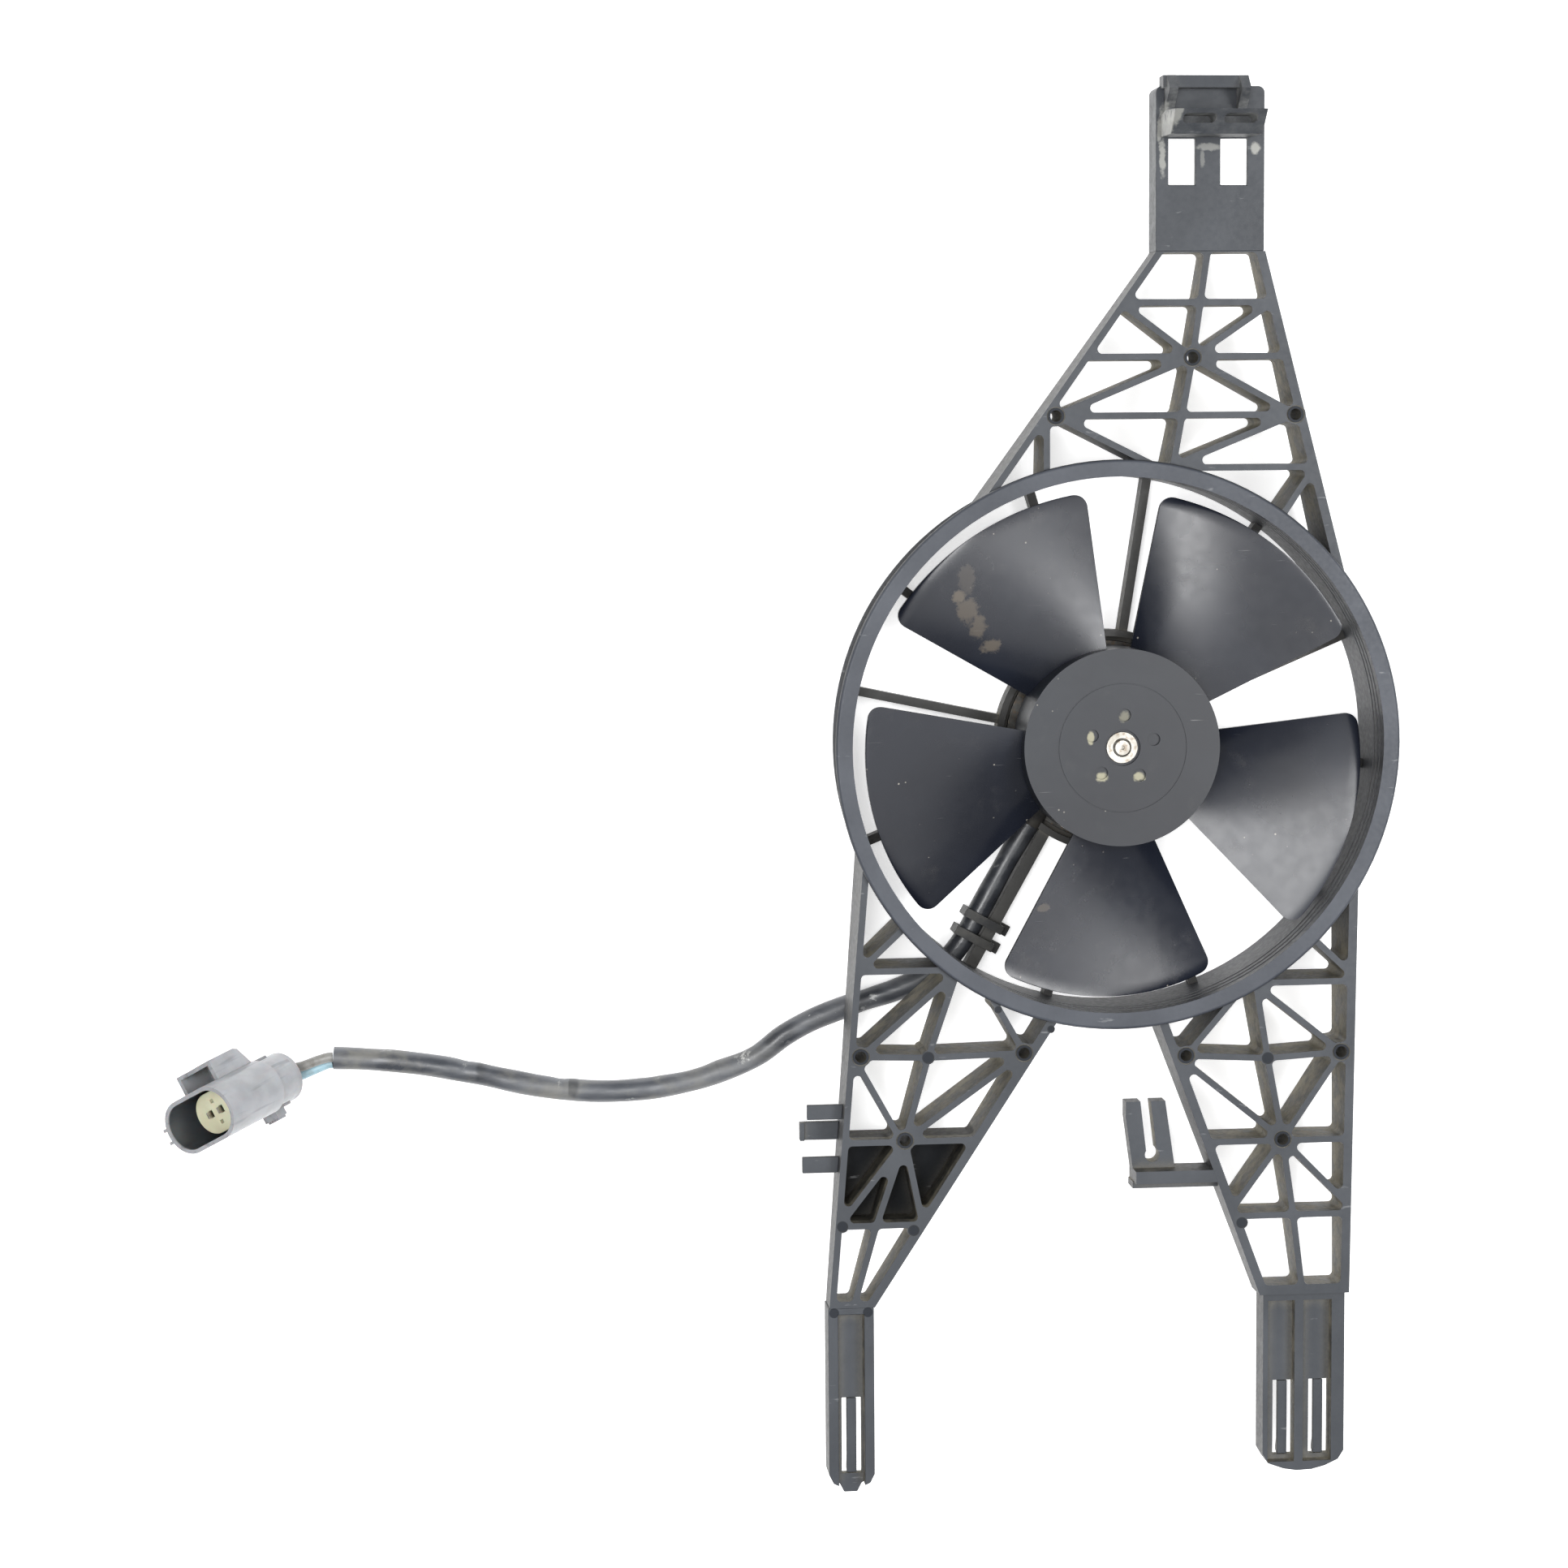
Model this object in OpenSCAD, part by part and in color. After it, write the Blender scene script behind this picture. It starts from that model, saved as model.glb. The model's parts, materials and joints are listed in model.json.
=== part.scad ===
// Axial cooling fan in a ribbed frame that clips behind an intercooler.
// The fan axis is +Z, towards the hub face. The tower points along +Y.
// The frame lies on its back, and the rear rim of the ring is at z = 0.

/* [Shroud ring] */
// Bore of the ring that the blades run in
ring_bore_d = 237; // [234:0.5:246]
// Thickness of the ring's wall
ring_wall = 3; // [2:0.25:4]
// Length of the ring along the fan axis
ring_depth = 44; // [42:0.5:50]
// Radial width of the lip on the front of the ring, with the wall
lip_width = 7.5; // [6:0.25:10]
// Thickness of the lip
lip_thick = 3; // [2:0.25:3.5]

/* [Impeller] */
// Number of blades
blade_count = 5; // [3:1:6]
// Gap between the blade tips and the ring
tip_gap = 6; // [4:0.25:9]
// Thickness of a blade
blade_thick = 2.6; // [1.8:0.1:3.5]
// Angle that one blade spans, seen along the axis
blade_span = 52.5; // [40:0.5:56]
// Depth that a blade takes up along the axis
blade_rise = 19; // [12:0.5:22]
// How far the middle of a blade bellies forward
blade_camber = 2; // [0:0.25:3]
// Corner radius of a blade tip
tip_corner = 6; // [3:0.5:9]
// Outside diameter of the hub cup
hub_d = 87; // [86:0.5:96]
// Length of the hub cup along the axis
hub_depth = 30; // [27:0.5:32]
// Wall of the hub cup
hub_wall = 2.8; // [2:0.1:3.2]
// How far the hub face stands in front of the ring
hub_proud = 5; // [4:0.25:8]

/* [Motor] */
// Outside diameter of the motor can
can_d = 72; // [70:0.5:73]
// Sheet thickness of the motor can
can_wall = 1.6; // [1.2:0.1:2]
// Diameter of the shaft
shaft_d = 8; // [6:0.25:9]
// Outside diameter of the two bearings
bearing_d = 16; // [15:0.25:18]
// Radial clearance of the shaft in a bearing
bearing_gap = 0.03; // [0.02:0.01:0.08]
// Radial air gap between the armature and the magnets
air_gap = 0.6; // [0.4:0.1:1]
// Thickness of a magnet
magnet_thick = 4; // [3:0.25:4.5]
// Slots in the armature core
core_slots = 12; // [8:1:14]

/* [Spider] */
// Width of a spoke
spoke_w = 4; // [3:0.25:5]
// Depth of a spoke along the axis
spoke_depth = 8; // [6:0.25:9]
// Gap between the rear rim and the back of the spokes
spoke_lift = 1.5; // [1:0.25:2.5]
// Outside diameter of the motor mount
mount_d = 100; // [98:0.5:106]

/* [Truss] */
// Width of a rib
rib_w = 2.8; // [2:0.1:3.6]
// Width of an edge rail
rail_w = 4; // [3.5:0.1:5]
// Width of the two long rails on the left
thin_rail_w = 2.9; // [2.4:0.1:3.6]
// Depth of the frame where it ends in the neck and the feet
end_depth = 15.5; // [14:0.25:18]
// Depth of the frame beside the ring
root_depth = 29.5; // [26:0.25:29.5]
// Radius in the corners of the pockets
pocket_r = 2; // [1:0.25:2.5]
// Outside diameter of a screw boss
boss_d = 9; // [8:0.25:11]
// Bore of a screw boss
boss_bore = 5; // [4:0.1:6]

/* [Neck and top catch] */
// Width of the neck
neck_w = 48; // [44:0.5:52]
// Length of the neck
neck_len = 71; // [64:0.5:80]
// Thickness of the neck's front plate and side walls
plate_t = 3; // [2:0.25:4]
// Width of a window in the neck
window_w = 12; // [8:0.5:14]
// Height of a window in the neck
window_h = 20; // [10:0.5:22]
// Width of the hook on top
hook_w = 40; // [36:0.5:42]
// Thickness of a gusset of the hook
gusset_t = 4; // [3:0.25:5]
// How far the hook stands in front of the neck
hook_reach = 32; // [26:0.5:34]

/* [Feet] */
// Width of the left foot
foot_l_w = 20.5; // [19:0.5:22]
// Width of the right foot
foot_r_w = 37.4; // [36.4:0.1:38.4]
// Length of the feet below the legs
foot_len = 77; // [72:0.5:84]
// Length of a spring tongue
tongue_len = 34; // [28:0.5:38]
// Width of a spring tongue
tongue_w = 4.4; // [3.5:0.1:4.8]
// Width of the slots beside a tongue
slot_w = 2.2; // [1.8:0.1:2.4]
// Thickness of the foot's web and tongues
web_t = 2.5; // [2:0.1:3]

/* [Fork and cable clip] */
// Width of the fork's slot
fork_slot = 4.8; // [4.2:0.1:6]
// Diameter of the round seat at the end of the slot
fork_seat_d = 6.6; // [6:0.1:8]
// Thickness of the fork
fork_t = 8; // [5:0.5:10]
// Length of a clip tab
tab_len = 16; // [12:0.5:20]
// Thickness of a clip tab
tab_t = 2.5; // [2:0.1:3]
// Gap between the front tabs and the back tab, for a cable
tab_gap = 7.5; // [6:0.25:8]

/* [Cable and connector] */
// Diameter of the cable sleeve
sleeve_d = 10; // [9:0.25:10.5]
// Diameter of each wire
wire_d = 4.4; // [3.4:0.1:4.5]
// Long width of the connector's mouth
mouth_w = 42; // [38:0.5:44]
// Short width of the connector's mouth
mouth_h = 24.4; // [23:0.2:26]
// Wall of the connector's mouth
mouth_wall = 1.8; // [1.4:0.1:2.2]
// Length of the connector from its rear face to its mouth
conn_len = 56; // [52:0.5:60]

/* [Hidden] */
$fn = 64;
// Overlap that makes a cut pass right through a face
eps = 0.5;
// Gap between a moving tongue and its slot or root
joint_gap = 0.3;

// Heights along the fan axis
ring_ir = ring_bore_d / 2;
ring_or = ring_ir + ring_wall;
fan_d = ring_bore_d - 2 * tip_gap;
front_z = ring_depth - lip_thick;
hub_z = ring_depth + hub_proud;
spoke_top = spoke_lift + spoke_depth;
end_z = front_z - end_depth;
root_z = front_z - root_depth;
tower_slope_y = 110;
leg_slope_y = -98;

// Colours
frame_col = [0.30, 0.32, 0.35];
dark_col = [0.11, 0.12, 0.15];
steel_col = [0.66, 0.67, 0.68];
copper_col = [0.72, 0.42, 0.24];
brass_col = [0.75, 0.62, 0.32];
rubber_col = [0.12, 0.12, 0.12];
grey_col = [0.62, 0.64, 0.66];

function on_line(a, b, y) = [a.x + (b.x - a.x) * (y - a.y) / (b.y - a.y), y];

// Tower: the two rails run from the neck to the ring
neck_y = 216;
neck_x = 40;
neck_top = neck_y + neck_len;
neck_corner = 2.8;
rail_in = rail_w / 2;
tower_l_top = [neck_x - neck_w / 2 + 3.5, neck_y + 2];
tower_l_end = [-65.8, 98];
tower_r_top = [neck_x + neck_w / 2 - rail_in, neck_y + 2];
tower_r_end = [101.3, 66];
boss_a = [32.5, 170];
boss_b = [-28, 145];
boss_c = [78.5, 145];

// Left leg
leg_end_y = -249;
foot_l_x = -120.6;
foot_r_x = 85.4;
left_o_top = [-111.9, -44];
left_o_end = [foot_l_x - foot_l_w / 2 + 2.05, leg_end_y];
left_i_top = [-24, -113];
left_i_end = [foot_l_x + foot_l_w / 2 - rail_in, leg_end_y];
boss_p1 = [-115.5, -136];
boss_p2 = [-42.5, -136];
boss_p3 = [-96, -174];
left_mid = [-85.5, -137];
left_h3 = -174.5;
left_h4 = -212;

// Right leg
right_o_top = [106.3, -58];
right_o_end = [foot_r_x + foot_r_w / 2 - 0.7, leg_end_y];
right_i_top = [17, -115];
right_i_end = [foot_r_x - foot_r_w / 2 - 0.2, leg_end_y];
boss_q1 = [30.5, -139];
boss_q2 = [101, -139];
boss_q3 = [74.5, -178];
right_mid = [67.5, -141];
right_h3 = -178.5;
right_h4 = -212.5;

// Ejector pads on the ribs: place and diameter
pad_sink = 0.25;
left_pads = [[left_mid, 6], [[-124.2, left_h4], 5.6], [[-92.3, left_h4 - 2.6], 5.6],
             [[-54.1, -116.2], 3.6], [[-30.5, -125.5], 3.6]];
right_pads = [[right_mid, 6], [[56, right_h4 - 3], 5.6]];

// Motor, from the back to the front
plate_top = spoke_lift + 3.5;
flange_t = 2;
flange_w = 9;
can_z0 = plate_top;
hub_face_t = 3.5;
hub_rib_h = 3;
hub_inner_z = hub_z - hub_face_t;
can_z1 = hub_inner_z - hub_rib_h - 2.5;
can_ir = can_d / 2 - can_wall;
core_r = can_ir - magnet_thick - air_gap;
bearing_len = 5;
cap_z1 = plate_top + 3;
comm_r = 9;
comm_z0 = cap_z1 + 1.5;
comm_z1 = comm_z0 + 6.5;
wind_h = 3.2;
spring_len = 7.7;
core_z0 = comm_z1 + wind_h + 0.5;
core_z1 = can_z1 - can_wall - bearing_len - wind_h - 1;
screw_r = can_d / 2 + 4.5;
screw_angles = [20, 140, 260];

// Spokes, as angles clockwise from the tower
spoke_angles = [9, 36, 67, 96, 126, 160, 193, 248, 282, 307, 343];
wide_spoke_a = [-26.6, -38.5];
wide_spoke_b = [-64.4, -106];
wide_spoke_w = 5.5;

// Blades: the first one is this far clockwise from the tower
blade_first = 38;
blade_mid_z = ring_depth - 12;
blade_root_r = hub_d / 2 - 1.4;
blade_rows = 8;
blade_cols = 10;

// Feet
web_z0 = end_z + 7;
foot_l_y1 = leg_end_y - foot_len;
tongue_root = foot_l_y1 + tongue_len + 0.5;
foot_r_front = front_z - 3;
foot_r_back = end_z - 1;
web_r_z0 = foot_r_back + 6;
foot_r_y1 = leg_end_y - foot_len + 2;
tongue_l_x = foot_l_x + 0.5;
tongue_r_root = foot_r_y1 + tongue_len - 0.7;
tongue_r_xs = [foot_r_x - 8.6, foot_r_x + 7.9];

// Cable: the middle of the sleeve, from the motor to the connector
sleeve_path = [
    [-35.2, -37.5, 7.5], [-42.2, -49, 7.5], [-49, -61, 7.5], [-56.8, -75, 7.3], [-64.5, -89, 6.4],
    [-72.5, -99, 5.6], [-84, -107, 5.3], [-97, -112.5, 5.2], [-109, -116, 5.2],
    [-121, -120, 5.2], [-134, -125, 5.2], [-146, -131.5, 5.2], [-158, -140, 5.2],
    [-172, -146, 5.2], [-188, -151, 5.2], [-206, -154, 5.2], [-226, -155, 5.2],
    [-246, -153.5, 5.2], [-265, -150, 5.2], [-284, -145.5, 5.2], [-303, -141.5, 5.2],
    [-320, -139, 5.2], [-335, -137.5, 5.2], [-348, -136.8, 5.2]
];
// Connector: its rear face, heading, tilt above the table and roll about its own axis
conn_pos = [-371, -144.3, 9.3];
conn_heading = 196.5;
conn_tilt = 52;
conn_roll = 13.5;
boot_len = 6;
insert_w = 24.5;
insert_h = 18.6;

function conn_point(x, y, z) =
    let (b = 90 - conn_tilt,
         x1 = x * cos(conn_roll) - y * sin(conn_roll), y1 = x * sin(conn_roll) + y * cos(conn_roll),
         u = x1 * cos(b) + z * sin(b))
    conn_pos + [u * cos(conn_heading) - y1 * sin(conn_heading),
                u * sin(conn_heading) + y1 * cos(conn_heading), z * cos(b) - x1 * sin(b)];

// Wires: from the sleeve's end to the boot of the connector
wire_side = wire_d / 2 + 0.1;
wire_turn = 30;
function wire_end(s, back) =
    conn_point(s * wire_side * cos(wire_turn), s * wire_side * sin(wire_turn), -boot_len - back);
wire_grey_path = [
    [-348.3, -136.2, 6.6], [-351, -136.4, 6.7], [-355, -137.5, 6.6], [-358.5, -138.8, 6.4],
    [-361.8, -140, 6.1], wire_end(-1, 1.4), wire_end(-1, 0)
];
wire_blue_path = [
    [-348.5, -139.5, 3.3], [-350.8, -139.8, 3.1], [-354.5, -141.3, 2.7], [-359, -143.2, 2.5],
    [-363.5, -144.9, 2.4], wire_end(1, 1.2), wire_end(1, 0)
];

module rib(a, b, w = rib_w) {
    d = b - a;
    translate(a) rotate(atan2(d.y, d.x)) translate([0, -w / 2]) square([norm(d), w]);
}

// The region on the inner side of a rail's outer face
module inside_rail(a, b, w, reach = 10) {
    d = (b - a) / norm(b - a);
    inward = reach * [-d.y, d.x];
    rib(a + inward, b + inward, 2 * reach + w + 0.04);
}

module closed_corners(r) {
    offset(r = -r, $fn = 20) offset(delta = r) children();
}

// Removes what lies behind a plane that rises from z0 at y0 to z1 at y1
module back_slope(y0, z0, y1, z1) {
    run = abs(y1 - y0);
    pitch = atan2(z1 - z0, run);
    translate([0, y0, z0]) mirror([0, y1 < y0 ? 1 : 0, 0]) rotate([pitch, 0, 0])
        translate([-250, -150, -60]) cube([500, 450, 60]);
}

function slope_z(y, y0, z0, y1, z1) = z0 + (z1 - z0) * (y - y0) / (y1 - y0);

// Frame section: an outline of ribs, tubular bosses, pads and a sloping back
module truss_body(bosses, y0, y1, pads = []) {
    slope = (end_z - root_z) / abs(y1 - y0);
    difference() {
        union() {
            linear_extrude(front_z) children();
            for (b = bosses) translate(b) cylinder(d = boss_d, h = front_z);
            for (p = pads) translate(p[0]) cylinder(d = p[1], h = front_z);
        }
        for (p = pads) translate([p[0].x, p[0].y, front_z - pad_sink])
            cylinder(d = p[1] - 0.7, h = 1);
        // A fine groove round each bore, as the two sleeves of the mould leave it
        for (b = bosses) translate([b.x, b.y, front_z - 0.8]) difference() {
            cylinder(d = boss_d - 0.9, h = 2);
            translate([0, 0, -1]) cylinder(d = boss_d - 1.9, h = 4);
        }
        back_slope(y0, root_z, y1, end_z);
        translate([0, 0, -1]) cylinder(r = ring_or, h = front_z + 2, $fn = 180);
        for (b = bosses) {
            seat = slope_z(b.y, y0, root_z, y1, end_z) + slope * boss_d / 2;
            translate([b.x, b.y, -1]) cylinder(d = boss_bore, h = front_z + 2);
            translate([b.x, b.y, -1]) cylinder(d = boss_d, h = seat + 1);
        }
    }
}

module shroud_ring() color(frame_col)
    difference() {
        rotate_extrude($fn = 180) {
            translate([ring_ir, 0]) square([ring_wall, ring_depth]);
            translate([ring_ir, front_z]) square([lip_width - lip_thick / 2, lip_thick]);
            translate([ring_ir + lip_width - lip_thick / 2, front_z + lip_thick / 2])
                circle(d = lip_thick, $fn = 24);
            translate([ring_ir, 0]) square([ring_wall + 1.2, 2]);
        }
        // Shallow steps inside the mouth of the ring
        for (i = [0:2]) translate([0, 0, front_z - 4 - 5 * i])
            cylinder(r = ring_ir + 0.35, h = 2, $fn = 180);
        // Way out for the cable under the left leg
        translate([-72.5, -99.5, 0]) rotate([0, 0, 221])
            translate([-12, -sleeve_d / 2 - 1, -1]) cube([24, sleeve_d + 2, sleeve_d / 2 + 1]);
        translate([-72.5, -99.5, sleeve_d / 2]) rotate([0, 0, 221]) rotate([0, 90, 0])
            cylinder(d = sleeve_d + 2, h = 24, center = true);
    }

module motor_spider() color(frame_col)
    difference() {
        union() {
            intersection() {
                union() {
                    for (a = spoke_angles) rotate([0, 0, 90 - a])
                        translate([mount_d / 2 - 2, -spoke_w / 2, spoke_lift])
                            cube([ring_ir - mount_d / 2 + 3, spoke_w, spoke_depth]);
                    translate([0, 0, spoke_lift]) linear_extrude(spoke_depth)
                        rib(wide_spoke_a, wide_spoke_b, wide_spoke_w);
                }
                cylinder(r = ring_ir, h = ring_depth, $fn = 180);
            }
            translate([0, 0, spoke_lift]) cylinder(d = mount_d, h = plate_top - spoke_lift);
            translate([0, 0, spoke_lift]) cylinder(d = mount_d, h = spoke_depth + 1.5);
        }
        translate([0, 0, plate_top]) cylinder(d = mount_d - 6, h = ring_depth);
        translate([0, 0, -1]) cylinder(r = can_ir - 3.4, h = ring_depth);
        for (a = screw_angles) rotate([0, 0, a]) translate([screw_r, 0, -1])
            cylinder(d = 4.4, h = 12);
        lead_notch();
    }

module tower_plan() closed_corners(pocket_r) {
    rib(tower_l_top, tower_l_end, thin_rail_w);
    rib(tower_r_top, tower_r_end, rail_w);
    translate([neck_x - neck_w / 2, neck_y - 0.5]) square([neck_w, 3]);
    rib([39, neck_y], boss_a);
    rib(boss_a, [22, 112]);
    rib(on_line(tower_l_top, tower_l_end, 194), on_line(tower_r_top, tower_r_end, 194));
    rib(on_line(tower_l_top, tower_l_end, 170.5), on_line(tower_r_top, tower_r_end, 170.5));
    rib(boss_b, boss_c);
    rib([18, 122], on_line(tower_r_top, tower_r_end, 122));
    rib(on_line(tower_l_top, tower_l_end, 193), boss_a);
    rib(on_line(tower_r_top, tower_r_end, 194), boss_a);
    rib(boss_a, boss_b);
    rib(boss_a, boss_c);
    rib(boss_b, [30, 116]);
    rib(boss_c, [14, 119]);
    rib([-32, 141], [-32, 110]);
    rib([86.5, 121], [68, 93.5]);
    for (b = [boss_a, boss_b, boss_c]) translate(b) circle(d = boss_d);
}

module tower_truss() color(frame_col)
    intersection() {
        truss_body([boss_a, boss_b, boss_c], tower_slope_y, neck_y) tower_plan();
        translate([-ring_or, ring_or / 2, 0]) cube([2 * ring_or, neck_y - ring_or / 2, front_z]);
    }

module top_neck() color(frame_col)
    difference() {
        translate([neck_x - neck_w / 2, neck_y, end_z]) cube([neck_w, neck_len, end_depth]);
        for (s = [-1, 1]) translate([neck_x + (s > 0 ? 0.75 : plate_t - neck_w / 2),
            neck_y + plate_t, end_z - eps])
            cube([neck_w / 2 - plate_t - 0.75, neck_len - 2 * plate_t, end_depth - plate_t + eps]);
        for (s = [-1, 1]) translate([neck_x - 1 + s * 11.5 - window_w / 2, neck_y + 28.5, end_z])
            cube([window_w, window_h, end_depth + 1]);
        // Round corners at the top
        for (s = [-1, 1]) translate([neck_x + s * (neck_w / 2 - neck_corner),
            neck_top - neck_corner, end_z - 1]) difference() {
            translate([s < 0 ? -neck_corner - 1 : 0, 0, 0])
                cube([neck_corner + 1, neck_corner + 1, end_depth + 2]);
            translate([0, 0, -1]) cylinder(r = neck_corner, h = end_depth + 4);
        }
    }

module along_x(x, w) {
    translate([x, 0, 0]) rotate([90, 0, 90]) linear_extrude(w) children();
}

module top_catch() color(frame_col) {
    hook_x = neck_x - neck_w / 2 + 2;
    hook_y = neck_top - 22;
    tip_z = front_z + hook_reach;
    difference() {
        union() {
            along_x(hook_x, hook_w) polygon([
                [hook_y, front_z], [hook_y - 0.5, tip_z - 10.5], [hook_y + 9.2, tip_z],
                [hook_y + 10.5, tip_z - 22], [hook_y + 9, front_z]
            ]);
            // Two low gussets behind the shelf, each with a roof
            for (x = [hook_x + 1.5, hook_x + hook_w - gusset_t - 2.6]) along_x(x, gusset_t)
                polygon([
                    [hook_y + 8, front_z - 0.1], [hook_y + 8, front_z + 3],
                    [hook_y + 12.5, front_z + 3.5], [hook_y + 20, front_z + 12],
                    [neck_top + 4, front_z + 6], [neck_top + 4, front_z - 0.1]
                ]);
            along_x(hook_x, hook_w - 3) polygon([
                [neck_top - 1.3, front_z - plate_t], [neck_top + 4, front_z - plate_t],
                [neck_top + 4, front_z + 5.6], [neck_top - 1.3, front_z + 6]
            ]);
        }
        // The neck's plate stays clear
        translate([neck_x - neck_w / 2 - 1, neck_y, 0]) cube([neck_w + 2, neck_len, front_z]);
        // Two core slots in the ramp of the hook
        for (x = [hook_x + 4, hook_x + 22]) translate([x, hook_y + 3.7, tip_z - 16]) {
            translate([1.9, 0, 0]) cube([10.7, 3.8, 30]);
            for (e = [1.9, 12.6]) translate([e, 1.9, 0]) cylinder(d = 3.8, h = 30, $fn = 32);
        }
    }
}

module left_leg_plan() closed_corners(pocket_r) {
    h3 = left_h3;
    h4 = left_h4;
    rib(left_o_top, left_o_end, thin_rail_w);
    rib(left_i_top, left_i_end, rail_w);
    rib([-113, -95], [-89, -72.5]);
    rib(on_line(left_o_top, left_o_end, -98), [-64, -98]);
    rib(boss_p1, [-68, -95]);
    rib(boss_p2, [-64, -98]);
    rib([-70, -92], left_mid);
    rib(left_mid, boss_p3);
    rib(boss_p1, left_mid);
    rib(left_mid, boss_p2);
    rib([-118.5, -136.4], [-98, -173.5]);
    rib(boss_p3, boss_p2);
    rib(on_line(left_o_top, left_o_end, h3), on_line(left_i_top, left_i_end, h3));
    rib(boss_p3, on_line(left_o_top, left_o_end, h4));
    rib(boss_p3, [-109, h4]);
    rib(boss_p3, on_line(left_i_top, left_i_end, h4));
    rib(on_line(left_o_top, left_o_end, h4), on_line(left_i_top, left_i_end, h4));
    rib([-109, h4], [-119.5, leg_end_y]);
    rib([left_o_end.x, leg_end_y + 1.5], [left_i_end.x, leg_end_y + 1.5], 3);
    for (b = [boss_p1, boss_p2, boss_p3]) translate(b) circle(d = boss_d);
}

// Closed pockets of the left leg, between its third and fourth cross ribs
module left_panel_plan() {
    a = on_line(left_o_top, left_o_end, left_h3);
    b = on_line(left_i_top, left_i_end, left_h3);
    c = on_line(left_i_top, left_i_end, left_h4);
    d = on_line(left_o_top, left_o_end, left_h4);
    polygon([a, b, c, d]);
}

// The room of one leg, left (-1) or right (1) of the tower's line
module leg_side(s) {
    translate([s < 0 ? -2 * ring_or : 0, leg_end_y, 0])
        cube([2 * ring_or, -leg_end_y - ring_or / 4, front_z]);
}

module left_leg_truss() color(frame_col)
    difference() {
        union() {
            intersection() {
                truss_body([boss_p1, boss_p2, boss_p3], leg_slope_y, leg_end_y, left_pads)
                    left_leg_plan();
                leg_side(-1);
            }
            intersection() {
                difference() {
                    linear_extrude(front_z) left_panel_plan();
                    back_slope(leg_slope_y, root_z, leg_end_y, end_z);
                    translate([boss_p3.x, boss_p3.y, -1]) cylinder(d = boss_d, h = front_z);
                }
                back_slope(leg_slope_y, root_z + 2, leg_end_y, end_z + 2);
            }
        }
    }

module right_leg_plan() closed_corners(pocket_r) {
    h3 = right_h3;
    h4 = right_h4;
    rib(right_o_top, right_o_end, rail_w);
    rib(right_i_top, right_i_end, rail_w);
    rib([50, -107], on_line(right_o_top, right_o_end, -107));
    rib([80, -80], [104.5, -103]);
    rib([60.5, -98], right_mid);
    rib(right_mid, boss_q3);
    rib(boss_q2, [54, -101.5]);
    rib(boss_q1, [63, -101]);
    rib(boss_q1, right_mid);
    rib(right_mid, boss_q2);
    rib([28, -140.3], boss_q3);
    rib(boss_q2, boss_q3);
    rib(on_line(right_i_top, right_i_end, h3), on_line(right_o_top, right_o_end, h3));
    rib(boss_q3, on_line(right_i_top, right_i_end, -209));
    rib(boss_q3, [79.5, h4]);
    rib(boss_q3, on_line(right_o_top, right_o_end, -208));
    rib(on_line(right_i_top, right_i_end, h4), on_line(right_o_top, right_o_end, h4));
    rib([79.5, h4], [84, leg_end_y]);
    rib([right_i_end.x - 1, leg_end_y + 2.2], [right_o_end.x, leg_end_y + 2.2], 4.4);
    for (b = [boss_q1, boss_q2, boss_q3]) translate(b) circle(d = boss_d);
}

module right_leg_truss() color(frame_col)
    intersection() {
        truss_body([boss_q1, boss_q2, boss_q3], leg_slope_y, leg_end_y, right_pads)
            right_leg_plan();
        leg_side(1);
    }

// Slots on both sides and at the free end of a tongue
module tongue_slots(x, root, z) {
    translate([x - tongue_w / 2 - slot_w, root - tongue_len - joint_gap, z - eps])
        cube([tongue_w + 2 * slot_w, tongue_len + 2 * joint_gap, web_t + 2 * eps]);
}

module left_foot() color(frame_col) {
    x0 = foot_l_x - foot_l_w / 2;
    x1 = foot_l_x + foot_l_w / 2;
    difference() {
        translate([0, 0, end_z]) linear_extrude(end_depth) polygon([
            [x0, leg_end_y], [x1, leg_end_y], [x1, foot_l_y1 + 1], [x1 - 2, foot_l_y1 - 3],
            [foot_l_x + 5, foot_l_y1 - 4.5], [foot_l_x + 3, foot_l_y1 - 8.5],
            [foot_l_x - 3, foot_l_y1 - 8.5], [foot_l_x - 5, foot_l_y1 - 4.5],
            [x0 + 2, foot_l_y1 - 3], [x0, foot_l_y1 + 1]
        ]);
        // Front channel, and the hollow behind the web
        translate([foot_l_x - 5.8, foot_l_y1 - 9, web_z0 + web_t])
            cube([11.6, foot_len + 6, end_depth]);
        translate([foot_l_x - 6.5, foot_l_y1 - 1.5, end_z - eps])
            cube([13, foot_len - 1.5, web_z0 - end_z + eps]);
        tongue_slots(tongue_l_x, tongue_root, web_z0);
    }
}

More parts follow.
